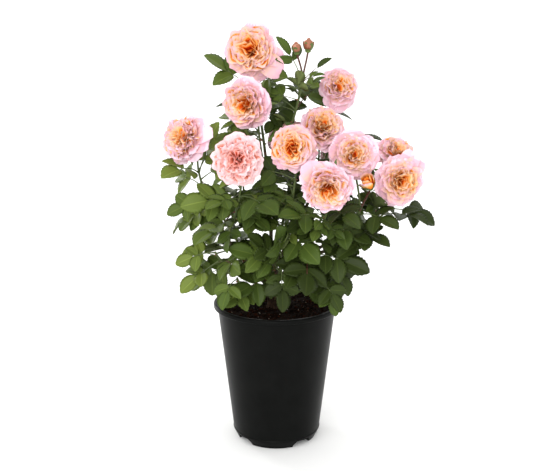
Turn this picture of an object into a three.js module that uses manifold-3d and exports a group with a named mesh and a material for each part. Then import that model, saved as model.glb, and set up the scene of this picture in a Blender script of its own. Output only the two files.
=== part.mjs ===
// A rose bush in a five-litre nursery pot, in millimetres with +Z up.
// The origin is the middle of the pot's flat underside, and most blooms face -Y.
// The bush is a grafted shrub rose: a short woody main stem stands on the compost, canes rise from it,
// and each cane or side bough ends where a leafy shoot takes over, which mostly ends in blooms.
import * as THREE from "three";
import { mergeVertices } from "three/addons/utils/BufferGeometryUtils.js";
import Module from "manifold-3d";

const wasm = await Module();
wasm.setup();

const CLEAR = 0.3; // between two solids that meet
const UP = new THREE.Vector3(0, 0, 1);
const RADIANS = Math.PI / 180;

// Pot: a thin moulded shell with a rolled lip, standing on feet that four notches leave between them.
const POT_HEIGHT = 236;
const RIM_RADIUS = 105;
const RIM_DROP = 7;
const RIM_BEVEL = 1.6;
const TOP_RADIUS = 98.5;
const BASE_RADIUS = 73.5;
const BASE_HEIGHT = 15; // below this the wall curves in to the feet
const HEEL_RADIUS = 71.5;
const HEEL_HEIGHT = 8;
const FOOT_RADIUS = 67;
const WALL = 1.5;
const FLOOR = 2.2;
const NOTCHES = 4;
const FIRST_NOTCH = -51.5; // degrees from +X, so that a foot faces the front
const NOTCH_HEIGHT = 11;
const NOTCH_WIDTH = 39;
const NOTCH_TOP_WIDTH = 27;
const NOTCH_DEPTH = 20;
const DRAIN_RADIUS = 6;
const DRAIN_RING = 36;
const POT_SIDES = 32;

// Compost: fills the pot to a little under the rim.
const COMPOST_LEVEL = 224;

// Main stem: the swollen graft that every cane comes from. It is cut flat just above the compost.
const MAIN_FOOT = new THREE.Vector3(-5, 7, COMPOST_LEVEL - 6);
const MAIN_TOP = new THREE.Vector3(-11, 2, COMPOST_LEVEL + 56);
const MAIN_FLARE = 16;
const MAIN_WAIST = 9;
const MAIN_SWELL = 12;

// Canes and boughs
const SPUR = 18.5; // how far the main stem's spur under each cane reaches out from its middle line
const SIDE_SPUR = 13; // length of a cane's spur under a side bough, from the cane's middle line
const CANE_RADIUS = 3.7;
const SIDE_RADIUS = 2.7;
const TIP_RADIUS = 1.7;
const LOW_LIFT = 22; // degrees above level as a cane leaves the foot of the main stem
const HIGH_LIFT = 66; // and its top
const SIDE_LEAVE = 46; // degrees between a cane and a side bough as it leaves

// Leaves: five or three leaflets on a stalk, set round the shoot by a fixed step
const STALK = 54;
const STALK_RADIUS = 0.9;
const LEAFLET = 44;
const LEAFLET_WIDTH = 0.76; // of its length
const LEAFLET_THICK = 0.035; // of its length
const LEAFLET_FOLD = 0.1; // rise of the edges over the midrib, of the width
const LEAFLET_BELLY = 0.45; // where it is widest, from its base
const LEAFLET_SAG = 0.12; // drop of the tip, of the length
const ROOT_WIDTH = 1.8; // along the stalk, where a side leaflet joins it
const STEP_ROUND = 144; // degrees from one leaf to the next
const SPACING = 0.6; // least gap between leaves, and to anything else
const LOWEST_LEAF = COMPOST_LEVEL - 12;

// Blooms: full rosettes on a calyx, and buds
const CALYX = 0.62; // the calyx's foot is this share of the radius behind the bloom's widest ring
const PEDICEL = 44; // length of a bloom's own stalk
const PEDICEL_TIP = 1.5; // its radius under the bloom
const BUD_PEDICEL = 35;
const BUD_UNDER = 14; // a bloom with a smaller radius than this is a bud
const RUFFLE_OUT = 0.05; // unevenness of the petals' edge, of the radius
const RUFFLE_UP = 0.09;

// Each stem's line runs from its parent to its head. Up to boughShare it is a bough, and beyond that a shoot.
// at is a share of the parent's line, and bow pushes the middle of the stem's own line aside.
// leaves is how many the shoot tries to carry, and turn is the first one's azimuth in degrees.
// A bloom is [x, y, z, radius, turn, lift]: it faces -Y turned by turn to +X, and raised by lift, in degrees.
// A lead is a leaf with a set place, [share of the line, azimuth, lift, droop, size, pairs of side leaflets].
const stems = [
  { name: "left", parent: "main_stem", at: 0.62, bow: [0, 0, -16], boughShare: 0.64, leaves: 4, turn: 200,
    leads: [[0.98, 30, 64, 20, 0.9, 2], [0.8, 188, -4, 18, 0.72, 2]],
    blooms: [[-146, -34, 512, 39, -34, 20]] },
  { name: "front_left", parent: "left", at: 0.5, boughShare: 0.34, leaves: 5, turn: 250,
    blooms: [[-58, -112, 490, 41, -5, 6]] },
  { name: "mid_left", parent: "left", at: 0.36, boughShare: 0.3, leaves: 4, turn: 160,
    leads: [[0.96, 192, -12, 26, 0.8, 2]],
    tip: [-100, 6, 408] },
  { name: "low_left", parent: "left", at: 0.2, boughShare: 0.3, leaves: 3, turn: 190,
    leads: [[0.98, 186, 4, 26, 0.7, 1], [0.8, 196, -26, 14, 0.86, 1]],
    tip: [-98, -44, 332] },
  { name: "top", parent: "main_stem", at: 1, bow: [16, 4, 0], boughShare: 0.66, leaves: 4, turn: 160,
    leads: [[0.96, 182, 30, -5, 1, 1]],
    blooms: [[-40, -8, 647, 42, -6, 14]] },
  { name: "upper_left", parent: "top", at: 0.48, boughShare: 0.34, leaves: 3, turn: 160,
    blooms: [[-47, -42, 566, 40, -28, -4]] },
  { name: "bud_spray", parent: "top", at: 0.56, boughShare: 0.36, leaves: 3, turn: 300,
    leads: [[0.98, 172, 72, 14, 0.84, 1], [0.94, -30, 62, 52, 0.5, 1], [0.86, -18, 16, 8, 0.5, 1],
      [0.7, 176, 48, 30, 0.76, 1], [0.8, 270, 66, 20, 0.62, 1]],
    blooms: [[31, -2, 652, 7.5, -20, 74], [50, 0, 657, 8.5, 15, 80]] },
  { name: "centre", parent: "main_stem", at: 0.92, boughShare: 0.42, leaves: 5, turn: 330,
    blooms: [[24, -107, 507, 41, -8, 10]] },
  { name: "upright", parent: "main_stem", at: 0.92, bow: [10, 12, 0], boughShare: 0.66, leaves: 4, turn: 10,
    blooms: [[102, 40, 588, 32, 12, 24]] },
  { name: "mid_right", parent: "upright", at: 0.5, boughShare: 0.34, leaves: 3, turn: 100,
    blooms: [[74, 6, 526, 40, 8, 36]] },
  { name: "right", parent: "main_stem", at: 0.86, boughShare: 0.62, leaves: 3, turn: 45,
    leads: [[0.8, -32, 6, 22, 0.8, 2]],
    blooms: [[118, -74, 492, 38, 2, 12], [141, -102, 448, 11, -10, 20]] },
  { name: "front_right", parent: "right", at: 0.42, boughShare: 0.34, leaves: 4, turn: 210,
    blooms: [[75, -132, 451, 39, -4, -14]] },
  { name: "low_right", parent: "right", at: 0.26, boughShare: 0.3, leaves: 5, turn: 20,
    leads: [[0.95, -14, 2, 24, 1.02, 2]],
    tip: [54, -66, 338] },
  { name: "far_right", parent: "main_stem", at: 0.7, bow: [0, 0, 8], boughShare: 0.6, leaves: 3, turn: 80,
    leads: [[0.92, -44, 16, 16, 0.92, 1]],
    blooms: [[191, -62, 450, 40, 14, 4], [193, 2, 484, 36, 26, 44]] },
  { name: "side_right", parent: "far_right", at: 0.36, boughShare: 0.3, leaves: 3, turn: 20,
    leads: [[0.95, -36, -20, 46, 0.8, 1]],
    tip: [80, -42, 326] },
  { name: "back_right", parent: "main_stem", at: 0.58, boughShare: 0.58, leaves: 5, turn: 60,
    blooms: [[114, 106, 462, 38, 150, 16]] },
  { name: "low_back_right", parent: "back_right", at: 0.34, boughShare: 0.3, leaves: 5, turn: 50,
    tip: [84, 90, 318] },
  { name: "back", parent: "main_stem", at: 0.86, boughShare: 0.5, leaves: 4, turn: 90,
    blooms: [[26, 118, 490, 40, 176, 12]] },
  { name: "back_left", parent: "main_stem", at: 0.5, boughShare: 0.56, leaves: 5, turn: 130,
    blooms: [[-72, 112, 458, 39, 205, 14]] },
  { name: "low_back_left", parent: "back_left", at: 0.3, boughShare: 0.3, leaves: 5, turn: 140,
    tip: [-84, 70, 316] },
  { name: "rim_left", parent: "main_stem", at: 0.34, bow: [0, 0, 6], boughShare: 0.34, leaves: 1, turn: 150,
    leads: [[0.97, 242, 8, 56, 0.7, 1]],
    tip: [-62, -76, 298] },
  { name: "low_front", parent: "main_stem", at: 0.52, bow: [0, 0, 6], boughShare: 0.32, leaves: 4, turn: 200,
    leads: [[0.95, -88, -42, 36, 0.8, 2]],
    tip: [8, -82, 326] },
  { name: "rim_right", parent: "main_stem", at: 0.3, bow: [0, 0, 6], boughShare: 0.34, leaves: 2, turn: 60,
    leads: [[0.97, -42, -16, 42, 0.72, 2]],
    tip: [66, -70, 296] },
];

// A repeatable number from 0 to 1 for three whole numbers.
function chance(a, b, c) {
  let h = Math.imul(a + 11, 0x85ebca6b) ^ Math.imul(b + 23, 0xc2b2ae35) ^ Math.imul(c + 37, 0x27d4eb2f);
  h ^= h >>> 15;
  h = Math.imul(h, 0x2c1b3c6d);
  h ^= h >>> 12;
  h = Math.imul(h, 0x297a2d39);
  h ^= h >>> 15;
  return (h >>> 0) / 4294967296;
}

// The same, from -1 to 1.
const sway = (a, b, c) => 2 * chance(a, b, c) - 1;

const mix = (a, b, share) => a + (b - a) * share;

// A closed geometry with shared vertices only.
function welded(geometry) {
  const bare = new THREE.BufferGeometry().setAttribute("position", geometry.getAttribute("position").clone());
  if (geometry.index) bare.setIndex(geometry.index.clone());
  return mergeVertices(bare, 1e-3);
}

// Moves each vertex of a geometry by a function that changes the vector it is given.
function reshaped(geometry, move) {
  const position = geometry.getAttribute("position");
  const point = new THREE.Vector3();
  for (let i = 0; i < position.count; i += 1) {
    point.fromBufferAttribute(position, i);
    move(point);
    position.setXYZ(i, point.x, point.y, point.z);
  }
  return geometry;
}

function solidOf(geometry) {
  return new wasm.Manifold(
    new wasm.Mesh({
      numProp: 3,
      vertProperties: new Float32Array(geometry.getAttribute("position").array),
      triVerts: new Uint32Array(geometry.index.array),
    }),
  );
}

function geometryOf(solid) {
  const mesh = solid.getMesh();
  return new THREE.BufferGeometry()
    .setAttribute("position", new THREE.BufferAttribute(new Float32Array(mesh.vertProperties), 3))
    .setIndex(new THREE.BufferAttribute(new Uint32Array(mesh.triVerts), 1));
}

// A solid of revolution about Z from [radius, height] points that start and end on the axis, going up outside.
function turned(profile, sides) {
  const points = profile.map(([radius, height]) => new THREE.Vector2(radius, height));
  return solidOf(welded(new THREE.LatheGeometry(points, sides).rotateX(Math.PI / 2)));
}

// A round limb along a curve, with radiusAt(share) and flat ends across it.
function limb(curve, radiusAt, sides, rings) {
  const startDirection = curve.getTangent(0);
  const across = startDirection.clone().cross(curve.getTangent(1));
  if (across.length() < 1e-3) {
    across.set(1, 0, 0).cross(startDirection);
    if (across.length() < 0.3) across.set(0, 1, 0).cross(startDirection);
  }
  across.normalize();
  const rod = welded(new THREE.CylinderGeometry(1, 1, 1, sides, rings));
  return solidOf(
    reshaped(rod, (point) => {
      const share = point.y + 0.5;
      const direction = curve.getTangent(share);
      const side = across.clone().addScaledVector(direction, -across.dot(direction)).normalize();
      const other = side.clone().cross(direction);
      const radius = radiusAt(share);
      const { x, z } = point;
      point.copy(curve.getPoint(share));
      point.addScaledVector(side, x * radius).addScaledVector(other, z * radius);
    }),
  );
}

// A stretch of a curve, from one share of it to another.
class Stretch extends THREE.Curve {
  constructor(whole, from, to) {
    super();
    Object.assign(this, { whole, from, to });
  }
  getPoint(share) {
    return this.whole.getPoint(mix(this.from, this.to, share));
  }
  getTangent(share) {
    const step = 1e-4;
    const here = mix(this.from, this.to, share);
    const ahead = this.whole.getPoint(Math.min(1, here + step));
    return ahead.sub(this.whole.getPoint(Math.max(0, here - step))).normalize();
  }
}

// The pot's notches as blocks that narrow upwards, grown on every side but the bottom.
const PAST = 2; // how far a cutting block runs past what it cuts
function notchBlocks(grow) {
  const outer = BASE_RADIUS + PAST;
  const reach = outer - (FOOT_RADIUS - NOTCH_DEPTH) + grow;
  const block = welded(new THREE.BoxGeometry(reach, 1, 1));
  reshaped(block, (point) => {
    const isTop = point.z > 0;
    const width = isTop ? NOTCH_TOP_WIDTH : NOTCH_WIDTH;
    point.set(point.x + outer - reach / 2, point.y * (width + 2 * grow), isTop ? NOTCH_HEIGHT + grow : -PAST);
  });
  const one = solidOf(block);
  const blocks = [];
  for (let i = 0; i < NOTCHES; i += 1) blocks.push(one.rotate([0, 0, FIRST_NOTCH + (i * 360) / NOTCHES]));
  return wasm.Manifold.union(blocks);
}

// The inside of the pot up to a level, drawn in from the shell by a gap.
function filling(level, gap) {
  const inset = WALL + gap;
  const slope = (TOP_RADIUS - BASE_RADIUS) / (POT_HEIGHT - RIM_DROP - BASE_HEIGHT);
  const profile = [
    [0, FLOOR + gap],
    [FOOT_RADIUS - inset, FLOOR + gap],
    [HEEL_RADIUS - inset, HEEL_HEIGHT],
    [BASE_RADIUS - inset, BASE_HEIGHT],
    [BASE_RADIUS - inset + slope * (level - BASE_HEIGHT), level],
    [0, level],
  ];
  return turned(profile, POT_SIDES).subtract(notchBlocks(WALL + gap));
}

function potSolid() {
  const underLip = POT_HEIGHT - RIM_DROP;
  const shell = turned(
    [
      [0, 0],
      [FOOT_RADIUS, 0],
      [HEEL_RADIUS, HEEL_HEIGHT],
      [BASE_RADIUS, BASE_HEIGHT],
      [TOP_RADIUS, underLip],
      [RIM_RADIUS - RIM_BEVEL, underLip],
      [RIM_RADIUS, underLip + RIM_BEVEL],
      [RIM_RADIUS, POT_HEIGHT - RIM_BEVEL],
      [RIM_RADIUS - RIM_BEVEL, POT_HEIGHT],
      [0, POT_HEIGHT],
    ],
    POT_SIDES,
  );
  const punch = new THREE.CylinderGeometry(DRAIN_RADIUS, DRAIN_RADIUS, 4 * FLOOR, 8).rotateX(Math.PI / 2);
  const drain = solidOf(welded(punch.translate(DRAIN_RING, 0, 0)));
  const drains = [];
  for (let i = 0; i < NOTCHES; i += 1) drains.push(drain.rotate([0, 0, FIRST_NOTCH + (i + 0.5) * (360 / NOTCHES)]));
  return shell.subtract(wasm.Manifold.union([filling(POT_HEIGHT + PAST, 0), notchBlocks(0), ...drains]));
}

// The main stem flares at the compost, narrows, and swells at the graft.
const mainLine = new THREE.LineCurve3(MAIN_FOOT, MAIN_TOP);
function mainRadius(share) {
  if (share < 0.35) return mix(MAIN_FLARE, MAIN_WAIST, Math.sin((share / 0.35) * Math.PI * 0.5));
  return MAIN_WAIST + (MAIN_SWELL - MAIN_WAIST) * Math.sin(((share - 0.35) / 0.65) * Math.PI * 0.72);
}

// Where a bloom faces.
function facing(turn, lift) {
  const flat = Math.cos(lift * RADIANS);
  return new THREE.Vector3(
    Math.sin(turn * RADIANS) * flat,
    -Math.cos(turn * RADIANS) * flat,
    Math.sin(lift * RADIANS),
  );
}

const byName = new Map();
stems.forEach((stem, number) => {
  stem.number = number;
  byName.set(stem.name, stem);
});

// A bloom's centre, the way it faces, the foot of its calyx and the neck that its stalk rises from.
function bloomOf([x, y, z, radius, turn, lift]) {
  const centre = new THREE.Vector3(x, y, z);
  const face = facing(turn, lift);
  const isBud = radius < BUD_UNDER;
  const foot = centre.clone().addScaledVector(face, -radius * (isBud ? 1 : CALYX));
  const rise = face.clone().multiplyScalar(0.35).add(UP).normalize();
  const neck = foot.clone().addScaledVector(rise, -(isBud ? BUD_PEDICEL : PEDICEL));
  return { centre, face, radius, isBud, foot, neck };
}

// A shoot's head is its leafy tip, or the middle of its blooms' necks, a little under the lowest.
const FORK_DROP = 8;
function headOf(stem) {
  if (stem.tip) return new THREE.Vector3().fromArray(stem.tip);
  const head = new THREE.Vector3();
  const necks = stem.flowers.map((flower) => flower.neck);
  necks.forEach((neck) => head.addScaledVector(neck, 1 / necks.length));
  if (necks.length > 1) head.z = Math.min(...necks.map((neck) => neck.z)) - FORK_DROP;
  return head;
}

// Works out a stem's own line: it leaves its parent at an angle, bends up, and arrives at its head rising.
function settle(stem) {
  if (stem.curve) return stem;
  stem.flowers = (stem.blooms || []).map(bloomOf);
  stem.head = headOf(stem);
  const fromMain = stem.parent === "main_stem";
  const parent = fromMain ? null : settle(byName.get(stem.parent));
  const start = fromMain ? mainLine.getPoint(stem.at) : parent.curve.getPoint(stem.at);
  const bow = new THREE.Vector3().fromArray(stem.bow || [0, 0, 0]);
  const across = stem.head.clone().sub(start);
  const reach = across.length();
  const trunk = fromMain ? UP : parent.curve.getTangent(stem.at);
  const side = across.clone().addScaledVector(bow, 1.5);
  side.addScaledVector(trunk, -side.dot(trunk)).normalize();
  const swing = (fromMain ? 90 - mix(LOW_LIFT, HIGH_LIFT, stem.at) : SIDE_LEAVE) * RADIANS;
  const leave = trunk.clone().multiplyScalar(Math.cos(swing)).addScaledVector(side, Math.sin(swing));
  const arrive = across.clone().multiplyScalar(0.6 / reach).add(UP).normalize();
  const first = start.clone().addScaledVector(leave, reach * 0.3).addScaledVector(bow, 0.5);
  const second = stem.head.clone().addScaledVector(arrive, reach * -0.34).add(bow);
  stem.curve = new THREE.CubicBezierCurve3(start, first, second, stem.head);
  stem.length = stem.curve.getLength();
  const baseRadius = fromMain ? CANE_RADIUS : SIDE_RADIUS;
  stem.radiusAt = (share) => mix(baseRadius, TIP_RADIUS, share);
  stem.spurEnd = (fromMain ? SPUR / Math.max(0.5, Math.sin(swing)) : SIDE_SPUR) / stem.length;
  stem.gap = CLEAR / stem.length;
  return stem;
}
stems.forEach(settle);

// A length of a stem's line as a solid.
function stretchOf(stem, from, to, sides, rings) {
  const along = (share) => stem.radiusAt(mix(from, to, share));
  return limb(new Stretch(stem.curve, from, to), along, sides, rings);
}

// Everything that has been placed, with its bounds, so that leaves can keep clear of it.
const placed = [];
const nodeParts = new Map();
function place(node, solid, kind) {
  placed.push({ node, solid, kind, box: solid.boundingBox() });
  if (!nodeParts.has(node)) nodeParts.set(node, []);
  nodeParts.get(node).push(solid);
}

function keepsClear(solid, passOver) {
  const { min, max } = solid.boundingBox();
  return placed.every((entry) => {
    if (passOver(entry)) return true;
    const apart = [0, 1, 2].some(
      (axis) => entry.box.min[axis] > max[axis] + SPACING || entry.box.max[axis] < min[axis] - SPACING,
    );
    return apart || solid.minGap(entry.solid, SPACING) >= SPACING;
  });
}

place("pot", potSolid(), "pot");
place("compost", filling(COMPOST_LEVEL, CLEAR), "compost");
const mainLimb = limb(new Stretch(mainLine, 0, 1), mainRadius, 9, 6);
place("main_stem", mainLimb.trimByPlane([0, 0, 1], COMPOST_LEVEL + CLEAR), "limb");

// Each bough starts a little clear of a spur that is part of its parent.
for (const stem of stems) {
  const parentNode = stem.parent === "main_stem" ? "main_stem" : `cane_${stem.parent}`;
  place(parentNode, stretchOf(stem, 0, stem.spurEnd, 6, 1), "limb");
  place(`cane_${stem.name}`, stretchOf(stem, stem.spurEnd + stem.gap, stem.boughShare, 6, 4), "limb");
}

// A bloom's solid: a cup on its calyx, a ring of outspread petals, and a domed middle of packed ones.
const BLOOM_PROFILE = [
  [0, -0.64], [0.16, -0.58], [0.66, -0.38], [1, -0.04], [0.9, 0.2], [0.6, 0.4], [0.26, 0.42], [0, 0.32],
];
const BUD_PROFILE = [[0, -1.02], [0.3, -1], [0.62, -0.72], [0.9, -0.2], [0.92, 0.2], [0.62, 0.75], [0, 1.25]];
const BLOOM_SIDES = 11;
const BUD_SIDES = 6;

function bloomSolid(flower, seed) {
  const { centre, face, radius, isBud } = flower;
  const profile = (isBud ? BUD_PROFILE : BLOOM_PROFILE).map(([r, h]) => new THREE.Vector2(r * radius, h * radius));
  const sides = isBud ? BUD_SIDES : BLOOM_SIDES;
  const form = welded(new THREE.LatheGeometry(profile, sides).rotateX(Math.PI / 2));
  const turn = new THREE.Quaternion().setFromUnitVectors(UP, face);
  reshaped(form, (point) => {
    const out = Math.hypot(point.x, point.y) / radius;
    if (!isBud && out > 0.2) {
      const side = Math.round((Math.atan2(point.y, point.x) / (2 * Math.PI)) * sides + sides) % sides;
      const ring = Math.round(out * 10);
      const ruffle = 1 + RUFFLE_OUT * sway(seed, side, ring);
      point.x *= ruffle;
      point.y *= ruffle;
      point.z += radius * RUFFLE_UP * sway(seed, side, ring + 50);
    }
    point.applyQuaternion(turn).add(centre);
  });
  return solidOf(form);
}

// A bloom's own stalk, rooted in the shoot's head and ending inside the calyx.
function pedicel(stem, flower) {
  const leave = stem.curve.getTangent(1);
  const root = stem.head.clone().addScaledVector(leave, -3);
  const first = root.clone().addScaledVector(leave, PEDICEL * 0.4);
  const second = flower.foot.clone().addScaledVector(flower.face, -PEDICEL * (flower.isBud ? 0.3 : 0.4));
  const end = flower.foot.clone().addScaledVector(flower.face, flower.radius * 0.12);
  const line = new THREE.CubicBezierCurve3(root, first, second, end);
  return limb(new Stretch(line, 0, 1), (share) => mix(TIP_RADIUS, PEDICEL_TIP, share), 4, 3);
}

// Shoots: each begins where its bough ends, and carries its blooms on their own stalks.
for (const stem of stems) {
  const node = `shoot_${stem.name}`;
  place(node, stretchOf(stem, stem.boughShare + stem.gap, 1, 5, 3), "stem");
  stem.flowers.forEach((flower, i) => {
    place(node, pedicel(stem, flower), "stem");
    place(node, bloomSolid(flower, 10 * stem.number + i), "bloom");
  });
}

// The open room before each bloom, which no leaf enters. One that faces the front has more on its -Y side.
const LIGHT_DEPTH = { bloom: 60, bud: 12 };
const FRONT_DEPTH = { bloom: 130, bud: 40 };
const LIGHT_WIDTH = 0.88; // of the bloom's radius
const FRONT = new THREE.Vector3(0, -1, 0.12).normalize();
const openRoom = [];
for (const { centre, face, radius, isBud } of stems.flatMap((stem) => stem.flowers)) {
  const kind = isBud ? "bud" : "bloom";
  const light = centre.clone().addScaledVector(face, LIGHT_DEPTH[kind]);
  openRoom.push(limb(new THREE.LineCurve3(centre, light), () => radius * LIGHT_WIDTH, 8, 1));
  if (face.y >= 0) continue;
  const front = centre.clone().addScaledVector(FRONT, FRONT_DEPTH[kind]);
  openRoom.push(limb(new THREE.LineCurve3(centre, front), () => radius * LIGHT_WIDTH, 8, 1));
}
const meetsOpenRoom = (solid) => openRoom.some((room) => solid.minGap(room, CLEAR) < CLEAR);

// Where the leaflets sit on the stalk: share of its length, swing from its end's direction, share of full size.
const PAIRS = [{ share: 0.46, swing: 1.2, scale: 0.78 }, { share: 0.8, swing: 1.08, scale: 0.9 }];

// A leaf's plan: its stalk leaves the base one way and ends another, and its upper side looks to the light,
// which comes from above, from outside the bush and, for the front half, from the front.
function leafPlan(base, leave, ends, roll, size, pairs) {
  const knee = base.clone().addScaledVector(leave, STALK * 0.5 * size);
  const end = knee.clone().addScaledVector(ends, STALK * 0.5 * size);
  const light = UP.clone().addScaledVector(leave, 0.3);
  light.x += (0.7 * (base.x - MAIN_TOP.x)) / 120;
  light.y += (0.7 * (base.y - MAIN_TOP.y)) / 120 - (base.y < 40 ? 0.8 : 0);
  const face = light.addScaledVector(ends, -light.dot(ends)).normalize();
  face.applyAxisAngle(ends, roll).normalize();
  return { base, knee, end, ends, face, size, pairs: pairs === 1 ? PAIRS.slice(1) : PAIRS };
}

// A lead leaf keeps its set place but for a stray that grows with each attempt.
function leadLeaf(stem, leaf, attempt) {
  const [share, azimuth, lift, droop, size, pairs] = stem.leads[leaf];
  const seed = stem.number * 40 + leaf;
  const stray = 5 * attempt;
  const turn = (azimuth + stray * sway(seed, 11, attempt)) * RADIANS;
  const away = (degrees) => {
    const rise = degrees * RADIANS;
    const flat = Math.cos(rise);
    return new THREE.Vector3(Math.cos(turn) * flat, Math.sin(turn) * flat, Math.sin(rise));
  };
  const rise = lift + stray * sway(seed, 12, attempt);
  const base = stem.curve.getPoint(share);
  return leafPlan(base, away(rise), away(rise - droop), 0.35 * sway(seed, 13, attempt), size, pairs);
}

// Any other leaf follows the fixed step round its shoot, and swings aside with each attempt.
function ruledLeaf(stem, leaf, attempt) {
  const many = stem.leaves;
  const seed = stem.number * 40 + leaf;
  const first = stem.boughShare + 14 / stem.length;
  const last = stem.tip ? 1 : 0.97;
  const share = mix(first, last, (leaf + 0.15 * sway(seed, 1, 0)) / Math.max(1, many - 1));
  const along = Math.min(last, Math.max(first, share));
  const base = stem.curve.getPoint(along);
  const direction = stem.curve.getTangent(along);
  const swing = (attempt % 2 ? 1 : -1) * Math.ceil(attempt / 2) * 34;
  const turn = (stem.turn + STEP_ROUND * leaf + 24 * sway(seed, 2, 0) + swing) * RADIANS;
  const outward = new THREE.Vector3(base.x - MAIN_TOP.x, base.y - MAIN_TOP.y, 0);
  if (outward.length() > 1) outward.normalize();
  const radial = new THREE.Vector3(Math.cos(turn), Math.sin(turn), 0);
  radial.addScaledVector(direction, -radial.dot(direction)).addScaledVector(outward, 0.35).normalize();
  const lift = mix(0.1, 0.62, along) + 0.22 * sway(seed, 3, attempt);
  const leave = radial.clone().addScaledVector(UP, lift).normalize();
  if (stem.tip && leaf === many - 1) leave.lerp(direction, 0.8).normalize();
  const ends = leave.clone().addScaledVector(UP, -(0.42 + 0.25 * chance(seed, 4, attempt))).normalize();
  const size = (0.82 + 0.26 * chance(seed, 5, attempt)) * (1 - 0.025 * attempt);
  const nearBloom = !stem.tip && leaf >= many - 2;
  return leafPlan(base, leave, ends, 0.5 * sway(seed, 6, attempt), size, nearBloom ? 1 : 2);
}

// One closed surface for a whole leaf. The stalk is three-sided, and each leaflet grows out of one of its faces
// as a flat spindle of eight faces whose root is that face.
function leafSolid({ base, knee, end, ends, face, size, pairs }) {
  const points = [];
  const triangles = [];
  const add = (point) => points.push(point) - 1;
  const side = face.clone().cross(ends).normalize();
  const at = (share) => (share < 0.5 ? base.clone().lerp(knee, share * 2) : knee.clone().lerp(end, share * 2 - 1));
  const ring = (share) => {
    const middle = at(share);
    const radius = STALK_RADIUS * mix(1.3, 0.9, share);
    return [-1, 1, 0].map((across) => {
      const up = across ? -0.5 : 1;
      return add(middle.clone().addScaledVector(side, across * radius).addScaledVector(face, up * radius));
    });
  };
  // Joins two rings of the same count, of which both run the same way round. The way its quads are split keeps
  // a folded blade's upper side above its lower one.
  const band = (from, to) => {
    from.forEach((corner, i) => {
      const next = (i + 1) % from.length;
      triangles.push([corner, from[next], to[i]], [from[next], to[next], to[i]]);
    });
  };
  const blade = (root, direction, length) => {
    const out = face.clone().cross(direction).normalize();
    const above = direction.clone().cross(out).normalize();
    const belly = root.clone().addScaledVector(direction, length * LEAFLET_BELLY);
    const half = (length * LEAFLET_WIDTH) / 2;
    const edge = length * LEAFLET_WIDTH * LEAFLET_FOLD;
    const thick = (length * LEAFLET_THICK) / 2;
    const right = add(belly.clone().addScaledVector(out, -half).addScaledVector(above, edge));
    const over = add(belly.clone().addScaledVector(above, thick));
    const left = add(belly.clone().addScaledVector(out, half).addScaledVector(above, edge));
    const under = add(belly.clone().addScaledVector(above, -thick));
    const tip = add(root.clone().addScaledVector(direction, length).addScaledVector(above, -LEAFLET_SAG * length));
    const around = [left, over, right, under];
    around.forEach((corner, i) => triangles.push([corner, around[(i + 1) % 4], tip]));
    return around;
  };
  const leafletLength = LEAFLET * size;
  const half = ROOT_WIDTH / 2 / (STALK * size);
  let last = ring(0);
  triangles.push([last[0], last[2], last[1]]);
  for (const { share, swing, scale } of pairs) {
    const near = ring(share - half);
    const far = ring(share + half);
    band(last, near);
    triangles.push([near[0], near[1], far[1]], [near[0], far[1], far[0]]);
    const length = leafletLength * scale;
    band([near[1], near[2], far[2], far[1]], blade(at(share), ends.clone().applyAxisAngle(face, swing), length));
    band([far[0], far[2], near[2], near[0]], blade(at(share), ends.clone().applyAxisAngle(face, -swing), length));
    last = far;
  }
  const top = ring(1);
  band(last, top);
  const [left, over, right, under] = blade(at(1), ends, leafletLength);
  triangles.push([top[0], top[1], under], [top[1], left, under], [top[1], top[2], left], [top[2], over, left]);
  triangles.push([top[2], right, over], [top[2], top[0], right], [top[0], under, right]);
  const geometry = new THREE.BufferGeometry().setFromPoints(points).setIndex(triangles.flat());
  return solidOf(geometry);
}

// Tries a leaf in several places and keeps the first that has room.
const ATTEMPTS = 8;
function plant(stem, leaf, planOf) {
  const node = `shoot_${stem.name}`;
  const ownStem = (entry) => entry.node === node && entry.kind === "stem";
  for (let attempt = 0; attempt < ATTEMPTS; attempt += 1) {
    const solid = leafSolid(planOf(stem, leaf, attempt));
    if (solid.boundingBox().min[2] < LOWEST_LEAF || meetsOpenRoom(solid)) continue;
    if (keepsClear(solid, ownStem)) {
      place(node, solid, "leaf");
      return;
    }
  }
}

// Lead leaves come first. The others are added one round at a time, so that each shoot gets its share of room.
for (const stem of stems) (stem.leads || []).forEach((lead, leaf) => plant(stem, leaf, leadLeaf));
for (let leaf = 0; leaf < Math.max(...stems.map((stem) => stem.leaves)); leaf += 1)
  for (const stem of stems) if (leaf < stem.leaves) plant(stem, leaf, ruledLeaf);

const FINISHES = {
  pot: new THREE.MeshStandardMaterial({ color: 0x232423, roughness: 0.45, metalness: 0 }),
  compost: new THREE.MeshStandardMaterial({ color: 0x2a1a12, roughness: 1, metalness: 0 }),
  main: new THREE.MeshStandardMaterial({ color: 0x5a4030, roughness: 0.9, metalness: 0 }),
  cane: new THREE.MeshStandardMaterial({ color: 0x5f6b35, roughness: 0.7, metalness: 0 }),
  shoot: new THREE.MeshStandardMaterial({ color: 0x46702f, roughness: 0.6, metalness: 0 }),
};

const bush = new THREE.Group();
bush.name = "rose_bush";
for (const [node, solids] of nodeParts) {
  const whole = solids.length > 1 ? wasm.Manifold.union(solids).simplify(0.01) : solids[0];
  const mesh = new THREE.Mesh(geometryOf(whole), FINISHES[node.split("_")[0]]);
  mesh.name = node;
  bush.add(mesh);
}

export default bush;
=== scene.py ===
import math
from types import SimpleNamespace

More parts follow.
